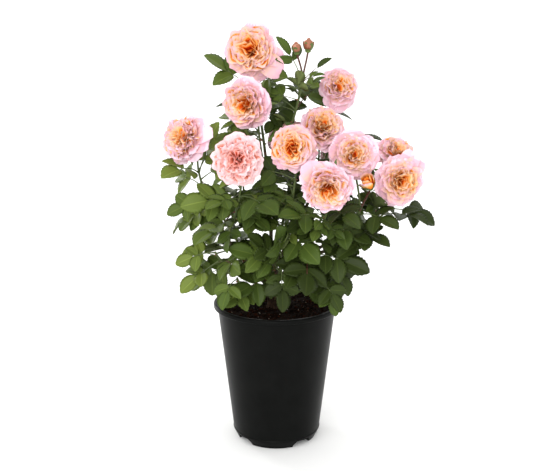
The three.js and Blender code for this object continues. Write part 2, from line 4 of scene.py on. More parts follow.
import bmesh
import bpy
import numpy as np
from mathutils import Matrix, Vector


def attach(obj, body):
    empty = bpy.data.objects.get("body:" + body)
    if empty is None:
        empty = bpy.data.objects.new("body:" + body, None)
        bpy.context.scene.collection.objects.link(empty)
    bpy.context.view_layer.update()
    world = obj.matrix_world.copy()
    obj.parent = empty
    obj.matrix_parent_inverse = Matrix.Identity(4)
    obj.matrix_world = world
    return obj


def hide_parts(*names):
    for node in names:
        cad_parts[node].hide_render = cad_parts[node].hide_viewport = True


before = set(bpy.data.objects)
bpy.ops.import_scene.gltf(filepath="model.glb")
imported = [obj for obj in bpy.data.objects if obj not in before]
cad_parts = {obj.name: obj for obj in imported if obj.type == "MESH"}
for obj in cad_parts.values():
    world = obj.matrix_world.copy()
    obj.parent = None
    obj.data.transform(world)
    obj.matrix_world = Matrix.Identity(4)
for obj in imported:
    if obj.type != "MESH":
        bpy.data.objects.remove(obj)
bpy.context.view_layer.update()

# The studio: a wide pale floor that runs up into a pale wall, soft lights in front and above, a wash of light
# on the wall, and two narrow upright lights at the sides, which draw the long sheens on the pot.
FLOOR_WHITE = "#F4F4F3"
FLOOR_SIZE = 8
WALL_HEIGHT = 5
COVE = 1.2
CAMERA_AT = (0, -1.390, 0.677)
CAMERA_DOWN = 13.3
CAMERA_LENS = 56.5


def linear(colour, strength=1.0):
    """An sRGB hex colour as linear red, green, blue and alpha."""
    parts = [int(colour[i : i + 2], 16) / 255 for i in (1, 3, 5)]
    return [strength * (c / 12.92 if c <= 0.04045 else ((c + 0.055) / 1.055) ** 2.4) for c in parts] + [1.0]


def finish(name, colour, **settings):
    """A material with one Principled shader, whose settings are named as its sockets, with _ for a space."""
    material = bpy.data.materials.new(name)
    material.use_nodes = True
    shader = material.node_tree.nodes["Principled BSDF"]
    shader.inputs["Base Color"].default_value = linear(colour)
    for key, value in settings.items():
        shader.inputs[key.replace("_", " ")].default_value = value
    material.diffuse_color = linear(colour)
    return material


def put_on(piece, *materials):
    """Gives a piece its materials, in the order of its faces' slots."""
    for material in materials:
        piece.data.materials.append(material)


def nothing_selected():
    """Leaves edit mode, and lets go of all that is selected."""
    if bpy.context.object and bpy.context.object.mode != "OBJECT":
        bpy.ops.object.mode_set(mode="OBJECT")
    bpy.ops.object.select_all(action="DESELECT")


def pick(model, test):
    """Selects a model's points by their place, in edit mode."""
    form = bmesh.from_edit_mesh(model.data)
    bpy.ops.mesh.select_mode(type="VERT")
    for vertex in form.verts:
        vertex.select_set(bool(test(vertex.co)))
    form.select_flush_mode()
    bmesh.update_edit_mesh(model.data)


nothing_selected()
bpy.ops.mesh.primitive_plane_add(size=FLOOR_SIZE, location=(0, 0, 0))
floor = bpy.context.object
floor.name = "floor"
bpy.ops.object.mode_set(mode="EDIT")
pick(floor, lambda co: co.y > 0)
bpy.ops.mesh.extrude_edges_move(TRANSFORM_OT_translate={"value": (0, 0, WALL_HEIGHT)})
bpy.ops.mesh.select_all(action="SELECT")
bpy.ops.mesh.bevel(offset=COVE, segments=12, affect="EDGES")
bpy.ops.object.mode_set(mode="OBJECT")
bpy.ops.object.shade_smooth()
# Matt white emulsion on board: no gloss, so that it stays an even white under every light.
put_on(floor, finish("matt_painted_floor", FLOOR_WHITE, Roughness=0.9))

world = bpy.data.worlds.new("studio_air")
world.use_nodes = True
air = world.node_tree.nodes["Background"]
air.inputs["Color"].default_value = linear("#FFFFFF")
air.inputs["Strength"].default_value = 0.95
bpy.context.scene.world = world
bpy.context.scene.view_settings.view_transform = "Standard"

BUSH_MIDDLE = (0, 0, 0.35)
# A light: its name, its place, what it looks at, its width and height, and its watts.
LIGHTS = [
    ("soft_left", (-1.3, -1.7, 1.9), BUSH_MIDDLE, 1.4, 1.4, 16),
    ("soft_right", (1.5, -1.5, 1.5), BUSH_MIDDLE, 1.2, 1.2, 4),
    ("soft_top", (0.1, 0.2, 2.6), BUSH_MIDDLE, 1.6, 1.6, 5),
    ("soft_front", (-0.3, -2.4, 1.1), BUSH_MIDDLE, 1.2, 1.2, 24),
    ("strip_right", (1.25, 0.34, 0.5), BUSH_MIDDLE, 0.22, 1.5, 2),
    ("strip_left", (-1.0, 1.0, 0.5), BUSH_MIDDLE, 0.3, 1.5, 9),
    ("wall_wash", (0, 2.2, 2.6), (0, 3.7, 0.5), 4.0, 0.8, 60),
]
for name, place, target, width, height, watts in LIGHTS:
    nothing_selected()
    bpy.ops.object.light_add(type="AREA", location=place)
    light = bpy.context.object
    light.name = name
    light.data.shape = "RECTANGLE"
    light.data.size = width
    light.data.size_y = height
    light.data.energy = watts
    light.rotation_mode = "QUATERNION"
    light.rotation_quaternion = (Vector(place) - Vector(target)).to_track_quat("Z", "Y")

bpy.ops.object.camera_add(location=CAMERA_AT, rotation=(math.radians(90 - CAMERA_DOWN), 0, 0))
camera = bpy.context.object
camera.data.lens = CAMERA_LENS
camera.data.sensor_width = 36
bpy.context.scene.camera = camera

# The pot: a five-litre nursery pot, injection moulded from black polypropylene 1.5 mm thick. Its lip is
# rolled outwards, its foot curves in under a fine ridge, and four notches leave it standing on feet.
POT_HEIGHT = 0.236
LIP_RADIUS = 0.105
LIP_DROP = 0.007
TOP_RADIUS = 0.0985
BASE_RADIUS = 0.0735
BASE_HEIGHT = 0.015
FOOT_RADIUS = 0.067
WALL = 0.0015
FLOOR_THICK = 0.0022
FOOT_ROUND = 0.0016
HEEL_RIDGE = 0.0008
LIP_ROUND = 0.0024
LIP_EDGE = 0.0012
FIRST_NOTCH = -51.5
NOTCH = SimpleNamespace(height=0.011, width=0.039, top_width=0.027, depth=0.020)
NOTCH_CLEAR = 0.002
DRAIN_RADIUS = 0.006
DRAIN_RING = 0.036
POT_SIDES = 128
WALL_SLOPE = (TOP_RADIUS - BASE_RADIUS) / (POT_HEIGHT - LIP_DROP - BASE_HEIGHT)


def spun(name, profile, sides):
    """A closed round form: a disc at the profile's first point is extruded and scaled from point to point."""
    nothing_selected()
    radius, height = profile[0]
    place = (0, 0, height)
    bpy.ops.mesh.primitive_circle_add(vertices=sides, radius=radius, fill_type="NGON", location=place)
    form = bpy.context.object
    form.name = name
    bpy.ops.object.transform_apply(location=True, rotation=True, scale=True)
    bpy.ops.object.mode_set(mode="EDIT")
    bpy.ops.mesh.select_all(action="SELECT")
    for (before, low), (after, high) in zip(profile, profile[1:]):
        bpy.ops.mesh.extrude_region_move(TRANSFORM_OT_translate={"value": (0, 0, high - low)})
        share = after / before
        bpy.ops.transform.resize(value=(share, share, 1), center_override=(0, 0, high))
    bpy.ops.mesh.select_all(action="SELECT")
    bpy.ops.mesh.normals_make_consistent(inside=False)
    bpy.ops.object.mode_set(mode="OBJECT")
    return form


def arc(centre, radius, start, stop, steps):
    """Points of a rounded corner of a profile, by degrees from straight out."""
    turns = [math.radians(start + (stop - start) * i / steps) for i in range(steps + 1)]
    return [(centre[0] + radius * math.cos(t), centre[1] + radius * math.sin(t)) for t in turns]


def only(piece):
    """Selects one piece alone."""
    nothing_selected()
    bpy.context.view_layer.objects.active = piece
    piece.select_set(True)


def cut(piece, cutter):
    """Takes one closed form out of another for good."""
    modifier = piece.modifiers.new("cut", "BOOLEAN")
    modifier.operation = "DIFFERENCE"
    modifier.solver = "EXACT"
    modifier.object = cutter
    only(piece)
    bpy.ops.object.modifier_apply(modifier=modifier.name)
    bpy.data.objects.remove(cutter)


def notch_block(turn, grow):
    """A block that narrows upwards, standing where the foot is notched."""
    nothing_selected()
    outside = BASE_RADIUS + NOTCH_CLEAR
    reach = outside - (FOOT_RADIUS - NOTCH.depth) + grow
    bpy.ops.mesh.primitive_cube_add(size=1, location=(0, 0, 0))
    block = bpy.context.object
    bpy.ops.object.mode_set(mode="EDIT")
    bpy.ops.transform.resize(value=(reach, NOTCH.width + 2 * grow, NOTCH.height + grow + NOTCH_CLEAR))
    bpy.ops.transform.translate(value=(outside - reach / 2, 0, (NOTCH.height + grow - NOTCH_CLEAR) / 2))
    faces = bmesh.from_edit_mesh(block.data)
    for face in faces.faces:
        face.select_set(face.normal.z > 0.9)
    bmesh.update_edit_mesh(block.data)
    narrow = (NOTCH.top_width + 2 * grow) / (NOTCH.width + 2 * grow)
    bpy.ops.transform.resize(value=(1, narrow, 1), center_override=(0, 0, 0))
    bpy.ops.object.mode_set(mode="OBJECT")
    block.rotation_euler.z = math.radians(turn)
    bpy.ops.object.transform_apply(location=False, rotation=True, scale=False)
    return block


notch_turns = [FIRST_NOTCH + 90 * i for i in range(4)]
under_lip = POT_HEIGHT - LIP_DROP
cavity_foot = FOOT_RADIUS - WALL
cavity = spun(
    "cavity",
    [
        (cavity_foot - 0.003, FLOOR_THICK),
        (cavity_foot, FLOOR_THICK + 0.001),
        (BASE_RADIUS - WALL - 0.0019, 0.008),
        (BASE_RADIUS - WALL, BASE_HEIGHT),
        (TOP_RADIUS - WALL, under_lip),
        (TOP_RADIUS - WALL + 0.0012, POT_HEIGHT - 0.0016),
        (TOP_RADIUS - WALL + 0.0030, POT_HEIGHT + 0.002),
    ],
    POT_SIDES,
)
for turn in notch_turns:
    cut(cavity, notch_block(turn, WALL))
pot = spun(
    "pot_shell",
    [
        (FOOT_RADIUS - FOOT_ROUND, 0),
        *arc((FOOT_RADIUS - 0.0006, FOOT_ROUND), FOOT_ROUND, -80, -45, 2),
        (BASE_RADIUS - 0.0042, 0.0052),
        (BASE_RADIUS - 0.0019, 0.0084),
        (BASE_RADIUS - 0.0006, 0.0118),
        (BASE_RADIUS + 0.75 * HEEL_RIDGE, BASE_HEIGHT - 1.5 * HEEL_RIDGE),
        (BASE_RADIUS + HEEL_RIDGE, BASE_HEIGHT),
        (BASE_RADIUS + 0.25 * HEEL_RIDGE, BASE_HEIGHT + 1.5 * HEEL_RIDGE),
        (TOP_RADIUS - LIP_EDGE, under_lip - 0.0100),
        (TOP_RADIUS - 0.0002, under_lip - 0.0016),
        (TOP_RADIUS + LIP_EDGE, under_lip),
        (LIP_RADIUS - LIP_EDGE, under_lip),
        *arc((LIP_RADIUS - LIP_EDGE, under_lip + LIP_EDGE), LIP_EDGE, -60, 0, 3),
        *arc((LIP_RADIUS - LIP_ROUND, POT_HEIGHT - LIP_ROUND), LIP_ROUND, 15, 90, 6),
        (TOP_RADIUS, POT_HEIGHT),
    ],
    POT_SIDES,
)
for turn in notch_turns:
    cut(pot, notch_block(turn, 0))
cut(pot, cavity)
for turn in notch_turns:
    nothing_selected()
    place = (DRAIN_RING, 0, 0)
    bpy.ops.mesh.primitive_cylinder_add(vertices=32, radius=DRAIN_RADIUS, depth=0.02, location=place)
    punch = bpy.context.object
    bpy.ops.object.transform_apply(location=True, rotation=False, scale=False)
    punch.rotation_euler.z = math.radians(turn + 45)
    bpy.ops.object.transform_apply(location=False, rotation=True, scale=False)
    cut(pot, punch)
only(pot)
bpy.ops.object.shade_smooth_by_angle(angle=math.radians(32))


def add(material, kind, inputs=(), stops=(), feeds=None):
    """Adds a node to a material. Its inputs are values or other nodes' outputs, its stops are a ramp's places
    and hex colours, and what it feeds is a socket of the material's shader."""
    tree = material.node_tree
    made = tree.nodes.new(kind)
    for key, value in dict(inputs).items():
        if isinstance(value, bpy.types.NodeSocket):
            tree.links.new(value, made.inputs[key])
        else:
            made.inputs[key].default_value = value
    for number, (stop, colour) in enumerate(stops):
        if number == len(made.color_ramp.elements):
            made.color_ramp.elements.new(stop)
        made.color_ramp.elements[number].position = stop
        made.color_ramp.elements[number].color = linear(colour)
    if feeds:
        tree.links.new(made.outputs[0], tree.nodes["Principled BSDF"].inputs[feeds])
    return made


# Moulded polypropylene, black from carbon: satin, with clouds of fine dust some 30 mm across and the faint
# grain of its mould. The grain is 0.5 mm in life and is drawn at 1 mm so that it shows.
DUST_CLOUD = 0.0294
MOULD_GRAIN = 0.001
plastic = finish("moulded_black_polypropylene", "#0A0B0A", Roughness=0.4, IOR=1.49, Specular_IOR_Level=0.06)
place = add(plastic, "ShaderNodeTexCoord").outputs["Object"]
noise = {"Vector": place, "Scale": 1 / DUST_CLOUD, "Detail": 6, "Roughness": 0.62}
dust = add(plastic, "ShaderNodeTexNoise", noise).outputs["Fac"]
greys = [(0.3, "#070807"), (0.62, "#0C0D0C"), (0.85, "#141513")]
add(plastic, "ShaderNodeValToRGB", {"Fac": dust}, greys, "Base Color")
add(plastic, "ShaderNodeMapRange", {"Value": dust, "To Min": 0.3, "To Max": 0.44}, feeds="Roughness")
noise = {"Vector": place, "Scale": 1 / MOULD_GRAIN, "Detail": 2}
grain = add(plastic, "ShaderNodeTexNoise", noise).outputs["Fac"]
add(plastic, "ShaderNodeBump", {"Height": grain, "Strength": 0.12, "Distance": 0.0004}, feeds="Normal")
put_on(pot, plastic)
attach(pot, "root")
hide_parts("pot")

# The compost: peat and bark fines that fill the pot to 12 mm under its lip, rough on top, with loose crumbs
# and pale grains of grit and perlite lying on it.
COMPOST_LEVEL = 0.224
COMPOST_FOOT = BASE_RADIUS - WALL - 0.0003
SURFACE_RADIUS = COMPOST_FOOT + WALL_SLOPE * (COMPOST_LEVEL - BASE_HEIGHT)
SURFACE_HEART = 0.004
SURFACE_RINGS = 44
SURFACE_SIDES = 112
ring_step = (SURFACE_RADIUS - SURFACE_HEART) / SURFACE_RINGS
surface = [(SURFACE_HEART + i * ring_step, COMPOST_LEVEL) for i in range(SURFACE_RINGS + 1)]
sides = [(SURFACE_RADIUS - 0.0006, COMPOST_LEVEL - 0.005), (COMPOST_FOOT, BASE_HEIGHT + 0.001)]
compost = spun("compost", surface + sides, SURFACE_SIDES)
top_points = compost.vertex_groups.new(name="top")
for vertex in compost.data.vertices:
    out = math.hypot(vertex.co.x, vertex.co.y) / SURFACE_RADIUS
    if vertex.co.z > COMPOST_LEVEL - 0.001:
        top_points.add([vertex.index], min(1.0, 8 * (1.0 - out)), "REPLACE")


def heaved(piece, size, height, depth=2, **settings):
    """Raises a piece's surface into lumps of one size and height, for good."""
    lumps = bpy.data.textures.new("lumps", "CLOUDS")
    lumps.noise_scale = size
    lumps.noise_depth = depth
    heave = piece.modifiers.new("heave", "DISPLACE")
    heave.texture = lumps
    heave.texture_coords = "LOCAL"
    heave.strength = height
    for key, value in settings.items():
        setattr(heave, key, value)
    only(piece)
    bpy.ops.object.modifier_apply(modifier=heave.name)


for size, height in ((0.020, 0.006), (0.005, 0.0035), (0.0022, 0.0016)):
    heaved(compost, size, height, 1, direction="Z", mid_level=0.55, vertex_group="top")
bpy.ops.object.shade_smooth()


def coloured_relief(material, size, detail, roughness, stops, strength, depth, stretch=1):
    """Gives a material a pattern of one size in metres, which colours it and stands out from it."""
    place = add(material, "ShaderNodeTexCoord").outputs["Object"]
    if stretch != 1:
        drawn_out = {"Vector": place, "Scale": (1, 1, 1 / stretch)}
        place = add(material, "ShaderNodeMapping", drawn_out).outputs["Vector"]
    noise = {"Vector": place, "Scale": 1 / size, "Detail": detail, "Roughness": roughness}
    pattern = add(material, "ShaderNodeTexNoise", noise).outputs["Fac"]
    add(material, "ShaderNodeValToRGB", {"Fac": pattern}, stops, "Base Color")
    relief = {"Height": pattern, "Strength": strength, "Distance": depth}
    add(material, "ShaderNodeBump", relief, feeds="Normal")


# Moist potting compost: near black-brown, with redder fibres some 2.4 mm apart, and almost without gloss.
soil = finish("moist_potting_compost", "#110804", Roughness=0.9, Specular_IOR_Level=0.06)
browns = [(0.32, "#090301"), (0.52, "#150903"), (0.68, "#241308"), (0.8, "#3A2413")]
coloured_relief(soil, 0.00238, 5, 0.7, browns, 0.6, 0.001)
put_on(compost, soil)
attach(compost, "root")
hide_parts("compost")


def chance(a, b, c):
    """A repeatable number from 0 to 1 for three whole numbers."""
    h = ((a + 11) * 0x85EBCA6B ^ (b + 23) * 0xC2B2AE35 ^ (c + 37) * 0x27D4EB2F) & 0xFFFFFFFF
    h ^= h >> 15
    h = h * 0x2C1B3C6D & 0xFFFFFFFF
    h ^= h >> 12
    h = h * 0x297A2D39 & 0xFFFFFFFF
    h ^= h >> 15
    return h / 4294967296


def sway(a, b, c):
    """The same, from -1 to 1."""
    return 2 * chance(a, b, c) - 1


def taken(model):
    """The points, triangles and material slots of a modelled shape, which is then put away."""
    only(model)
    bpy.ops.object.mode_set(mode="EDIT")
    bpy.ops.mesh.select_all(action="SELECT")
    bpy.ops.mesh.quads_convert_to_tris()
    bpy.ops.object.mode_set(mode="OBJECT")
    points = np.array([v.co for v in model.data.vertices], float)
    triangles = np.array([p.vertices for p in model.data.polygons], int)
    slots = np.array([p.material_index for p in model.data.polygons], int)
    bpy.data.objects.remove(model)
    return SimpleNamespace(points=points, triangles=triangles, slots=slots)


class Gathered:
    """Copies of modelled shapes, laid down in millimetres and gathered into one mesh of its own."""

    def __init__(self):
        self.points = []
        self.triangles = []
        self.slots = []
        self.count = 0

    def lay(self, shape, points, slots):
        """Lays down one copy of a shape, with its points moved to their places."""
        self.points.append(points)
        self.triangles.append(shape.triangles + self.count)
        self.slots.append(np.broadcast_to(slots, len(shape.triangles)))
        self.count += len(points)

    def piece(self, name):
        """All the copies as one piece."""
        points = np.concatenate(self.points) * 0.001
        triangles = np.concatenate(self.triangles)
        mesh = bpy.data.meshes.new(name)
        mesh.vertices.add(len(points))
        mesh.vertices.foreach_set("co", points.ravel())
        mesh.loops.add(triangles.size)
        mesh.loops.foreach_set("vertex_index", triangles.ravel())
        mesh.polygons.add(len(triangles))
        mesh.polygons.foreach_set("loop_start", np.arange(0, triangles.size, 3))
        mesh.polygons.foreach_set("material_index", np.concatenate(self.slots).astype(int))
        mesh.polygons.foreach_set("use_smooth", np.ones(len(triangles), bool))
        mesh.update(calc_edges=True)
        piece = bpy.data.objects.new(name, mesh)
        bpy.context.scene.collection.objects.link(piece)
        return piece


nothing_selected()
bpy.ops.mesh.primitive_ico_sphere_add(subdivisions=1, radius=1)
pebble = taken(bpy.context.object)
CRUMBS = 900
GRIT = 60
STREWN_RADIUS = 94
crumbs = Gathered()
for number in range(CRUMBS + GRIT):
    out = STREWN_RADIUS * math.sqrt(chance(number, 1, 1))
    turn = 2 * math.pi * chance(number, 1, 2)
    if number < CRUMBS:
        size = 0.9 + 2.2 * chance(number, 1, 3) ** 2
        slot = number % 3
    else:
        size = 0.5 + 0.8 * chance(number, 1, 3)
        slot = 3 if number % 3 else 4
    stretched = np.array([1 + 0.5 * chance(number, 2, 1), 0.8, 0.55 + 0.3 * chance(number, 2, 2)])
    lumpy = pebble.points * (1 + 0.3 * np.array([[sway(number, k, 5)] for k in range(len(pebble.points))]))
    spin = 6.28 * chance(number, 2, 3)
    c, s = math.cos(spin), math.sin(spin)
    local = (lumpy * stretched * size) @ np.array([[c, s, 0], [-s, c, 0], [0, 0, 1]])
    height = 1000 * COMPOST_LEVEL - 0.4 + 1.6 * chance(number, 3, 1)
    crumbs.lay(pebble, local + (out * math.cos(turn), out * math.sin(turn), height), slot)
loose = crumbs.piece("compost_crumbs")

# Peat breaks into dark dull crumbs and bark into brown and reddish ones, with pale dry grains between them.
put_on(
    loose,
    finish("dark_peat_crumb", "#0F0602", Roughness=0.95, Specular_IOR_Level=0.06),
    finish("brown_bark_crumb", "#1F1007", Roughness=0.9, Specular_IOR_Level=0.06),
    finish("red_bark_crumb", "#2F1509", Roughness=0.9, Specular_IOR_Level=0.06),
    finish("pale_perlite_grain", "#8F897C", Roughness=0.8),
    finish("tan_grit_grain", "#6E5C44", Roughness=0.7),
)
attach(loose, "root")

# How the bush grows: the same rule as its solids. Each stem's line leaves its parent at an angle, bends up
# and arrives at its head rising. A share of it, its bough share, is a woody cane, and the rest a green shoot.
UP = np.array([0.0, 0.0, 1.0])
LEVEL = 224
MAIN_FOOT = np.array([-5.0, 7.0, LEVEL - 6])
MAIN_TOP = np.array([-11.0, 2.0, LEVEL + 56])
CANE_RADIUS = 3.7
SIDE_RADIUS = 2.7
TIP_RADIUS = 1.7
LOW_LIFT = 22
HIGH_LIFT = 66
SIDE_LEAVE = 46
CALYX = 0.62
PEDICEL = 44
BUD_PEDICEL = 35
BUD_UNDER = 14
FORK_DROP = 8

# A stem: its name, its parent, the share of the parent's line where it leaves, its bow, its bough share, its
# number of leaves, and the azimuth of the first.
STEMS = [
    ("left", "main_stem", 0.62, (0, 0, -16), 0.64, 4, 200),
    ("front_left", "left", 0.5, (0, 0, 0), 0.34, 5, 250),
    ("mid_left", "left", 0.36, (0, 0, 0), 0.3, 4, 160),
    ("low_left", "left", 0.2, (0, 0, 0), 0.3, 3, 190),
    ("top", "main_stem", 1, (16, 4, 0), 0.66, 4, 160),
    ("upper_left", "top", 0.48, (0, 0, 0), 0.34, 3, 160),
    ("bud_spray", "top", 0.56, (0, 0, 0), 0.36, 3, 300),
    ("centre", "main_stem", 0.92, (0, 0, 0), 0.42, 5, 330),
    ("upright", "main_stem", 0.92, (10, 12, 0), 0.66, 4, 10),
    ("mid_right", "upright", 0.5, (0, 0, 0), 0.34, 3, 100),
    ("right", "main_stem", 0.86, (0, 0, 0), 0.62, 3, 45),
    ("front_right", "right", 0.42, (0, 0, 0), 0.34, 4, 210),
    ("low_right", "right", 0.26, (0, 0, 0), 0.3, 5, 20),
    ("far_right", "main_stem", 0.7, (0, 0, 8), 0.6, 3, 80),
    ("side_right", "far_right", 0.36, (0, 0, 0), 0.3, 3, 20),
    ("back_right", "main_stem", 0.58, (0, 0, 0), 0.58, 5, 60),
    ("low_back_right", "back_right", 0.34, (0, 0, 0), 0.3, 5, 50),
    ("back", "main_stem", 0.86, (0, 0, 0), 0.5, 4, 90),
    ("back_left", "main_stem", 0.5, (0, 0, 0), 0.56, 5, 130),
    ("low_back_left", "back_left", 0.3, (0, 0, 0), 0.3, 5, 140),
    ("rim_left", "main_stem", 0.34, (0, 0, 6), 0.34, 1, 150),
    ("low_front", "main_stem", 0.52, (0, 0, 6), 0.32, 4, 200),
    ("rim_right", "main_stem", 0.3, (0, 0, 6), 0.34, 2, 60),
]
# Where a shoot that carries leaves alone ends.
TIPS = {
    "mid_left": (-100, 6, 408), "low_left": (-98, -44, 332), "low_right": (54, -66, 338),
    "side_right": (80, -42, 326), "low_back_right": (84, 90, 318), "low_back_left": (-84, 70, 316),
    "rim_left": (-62, -76, 298), "low_front": (8, -82, 326), "rim_right": (66, -70, 296),
}
# A stem's blooms: each has its centre, its radius, the turn and lift of its face in degrees, and its warmth,
# which runs from 0 for a dusky bud through pink and pale apricot to about 1 for orange.
BLOOMS = {
    "left": [(-146, -34, 512, 39, -34, 20, 0.42)],
    "front_left": [(-58, -112, 490, 41, -5, 6, 0.12)],
    "top": [(-40, -8, 647, 42, -6, 14, 0.9)],
    "upper_left": [(-47, -42, 566, 40, -28, -4, 0.55)],
    "bud_spray": [(31, -2, 652, 7.5, -20, 74, 0), (50, 0, 657, 8.5, 15, 80, 0)],
    "centre": [(24, -107, 507, 41, -8, 10, 1.15)],
    "upright": [(102, 40, 588, 32, 12, 24, 0.4)],
    "mid_right": [(74, 6, 526, 40, 8, 36, 0.7)],
    "right": [(118, -74, 492, 38, 2, 12, 0.65), (141, -102, 448, 11, -10, 20, 1)],
    "front_right": [(75, -132, 451, 39, -4, -14, 0.55)],
    "far_right": [(191, -62, 450, 40, 14, 4, 0.85), (193, 2, 484, 36, 26, 44, 0.4)],
    "back_right": [(114, 106, 462, 38, 150, 16, 0.6)],
    "back": [(26, 118, 490, 40, 176, 12, 0.8)],
    "back_left": [(-72, 112, 458, 39, 205, 14, 0.4)],
}


def unit(v):
    """A vector's direction."""
    return v / np.linalg.norm(v)


def mix(a, b, share):
    """The value at a share of the way from one to another."""
    return a + (b - a) * share


def swung(v, axis, angle):
    """A vector turned round an axis."""
    c, s = math.cos(angle), math.sin(angle)
    return v * c + np.cross(axis, v) * s + axis * (axis @ v) * (1 - c)


class Line:
    """A cubic line, read by its share from 0 to 1."""

    def __init__(self, *corners):
        self.corners = np.array(corners, float)

    def at(self, share):
        """Its points."""
        t = np.asarray(share, float)[..., None]
        a, b, c, d = self.corners
        return a * (1 - t) ** 3 + b * 3 * t * (1 - t) ** 2 + c * 3 * t * t * (1 - t) + d * t**3

    def along(self, share):
        """Its directions."""
        t = np.clip(np.asarray(share, float), 1e-4, 1 - 1e-4)[..., None]
        a, b, c, d = self.corners
        slope = (b - a) * 3 * (1 - t) ** 2 + (c - b) * 6 * t * (1 - t) + (d - c) * 3 * t * t
        return slope / np.linalg.norm(slope, axis=-1, keepdims=True)

    def length(self):
        return np.linalg.norm(np.diff(self.at(np.linspace(0, 1, 201)), axis=0), axis=1).sum()

    def part(self, start, stop):
        """A stretch of it as a line of its own."""
        a, b, c, d = self.corners
        first, last = self.at(start), self.at(stop)
        leave, arrive = (
            (b - a) * (1 - t) ** 2 + 2 * (c - b) * t * (1 - t) + (d - c) * t * t for t in (start, stop)
        )
        return Line(first, first + leave * (stop - start), last - arrive * (stop - start), last)


def bloom_of(x, y, z, radius, turn, lift, warmth):
    """A bloom or bud, with the foot where its stalk ends and the neck where that leaves the stem's head."""
    centre = np.array([x, y, z], float)
    turn, lift = math.radians(turn), math.radians(lift)
    face = np.array([math.sin(turn) * math.cos(lift), -math.cos(turn) * math.cos(lift), math.sin(lift)])
    is_bud = radius < BUD_UNDER
    foot = centre - face * radius * (1 if is_bud else CALYX)
    neck = foot - unit(UP + 0.35 * face) * (BUD_PEDICEL if is_bud else PEDICEL)
    return SimpleNamespace(
        centre=centre, face=face, radius=radius, is_bud=is_bud, foot=foot, neck=neck, warmth=warmth,
    )


stems = {}
for number, (name, parent, at, bow, bough_share, leaves, turn) in enumerate(STEMS):
    bow = np.array(bow, float)
    flowers = [bloom_of(*bloom) for bloom in BLOOMS.get(name, [])]
    if name in TIPS:
        head = np.array(TIPS[name], float)
    else:
        head = np.mean([flower.neck for flower in flowers], axis=0)
        if len(flowers) > 1:
            head[2] = min(flower.neck[2] for flower in flowers) - FORK_DROP
    from_main = parent == "main_stem"
    start = mix(MAIN_FOOT, MAIN_TOP, at) if from_main else stems[parent].line.at(at)
    trunk = UP if from_main else stems[parent].line.along(at)
    across = head - start
    reach = np.linalg.norm(across)
    side = across + 1.5 * bow
    side = unit(side - trunk * (side @ trunk))
    swing = math.radians(90 - mix(LOW_LIFT, HIGH_LIFT, at) if from_main else SIDE_LEAVE)
    leave = trunk * math.cos(swing) + side * math.sin(swing)
    arrive = unit(across * 0.6 / reach + UP)
    line = Line(start, start + leave * reach * 0.3 + 0.5 * bow, head - arrive * reach * 0.34 + bow, head)
    stems[name] = SimpleNamespace(
        name=name, number=number, from_main=from_main, bough_share=bough_share, leaves=leaves, turn=turn,
        line=line, head=head, flowers=flowers, has_tip=name in TIPS, length=line.length(),
    )


def stem_radius(stem, share):
    return mix(CANE_RADIUS if stem.from_main else SIDE_RADIUS, TIP_RADIUS, share)


def rod(sides, rings):
    """A unit rod from z 0 to 1 with closed ends, to be laid along a line."""
    profile = [(1, i / rings) for i in range(rings + 1)]
    return taken(spun("rod", profile, sides))


def laid(shape, line, radius):
    """The points of a unit rod along a line, with its radius given by share."""
    share = shape.points[:, 2]
    start = line.along(0.0)
    across = np.cross(start, line.along(1.0))
    if np.linalg.norm(across) < 1e-3:
        across = np.cross([1.0, 0, 0], start)
    along = line.along(share)
    side = across - along * (along @ across)[:, None]
    side /= np.linalg.norm(side, axis=1, keepdims=True)
    other = np.cross(along, side)
    sideways, onwards = (shape.points[:, :2] * radius(share)[:, None]).T
    return line.at(share) + side * sideways[:, None] + other * onwards[:, None]


# The main stem: the old graft, a woody knuckle with cracked grey-brown bark that flares at the compost and
# swells where the canes break from it.
MAIN_FLARE = 16
MAIN_WAIST = 9
MAIN_SWELL = 12
WAIST_AT = 0.35
BURIED = 0.09
BARK_ROOM = 0.95


def main_radius(share):
    """The knuckle's radius at a share of its height: it narrows to its waist and swells again."""
    share = BURIED + (1 - BURIED) * share
    foot = mix(MAIN_FLARE, MAIN_WAIST, np.sin(np.clip(share / WAIST_AT, 0, 1) * math.pi / 2))
    rise = np.sin((share - WAIST_AT) / (1 - WAIST_AT) * math.pi * 0.72)
    return np.where(share < WAIST_AT, foot, mix(MAIN_WAIST, MAIN_SWELL, rise)) * BARK_ROOM


knuckle = rod(40, 48)
main_line = Line(*(mix(MAIN_FOOT, MAIN_TOP, share) for share in (BURIED, 0.4, 0.7, 1.0)))
grown = Gathered()
grown.lay(knuckle, laid(knuckle, main_line, main_radius), 0)
main_stem = grown.piece("main_stem_bark")
heaved(main_stem, 0.009, 0.003)
heaved(main_stem, 0.0025, 0.0014)

# Rose bark on old wood: rough and matt, dark grey-brown with near-black upright cracks some 3 mm apart.
bark = finish("cracked_rose_bark", "#33241A", Roughness=0.92, Specular_IOR_Level=0.15)
browns = [(0.34, "#140C07"), (0.5, "#32231A"), (0.66, "#4C392A"), (0.8, "#65513C")]
coloured_relief(bark, 0.00303, 6, 0.65, browns, 0.7, 0.0012, stretch=2.857)
put_on(main_stem, bark)
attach(main_stem, "root")
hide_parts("main_stem")

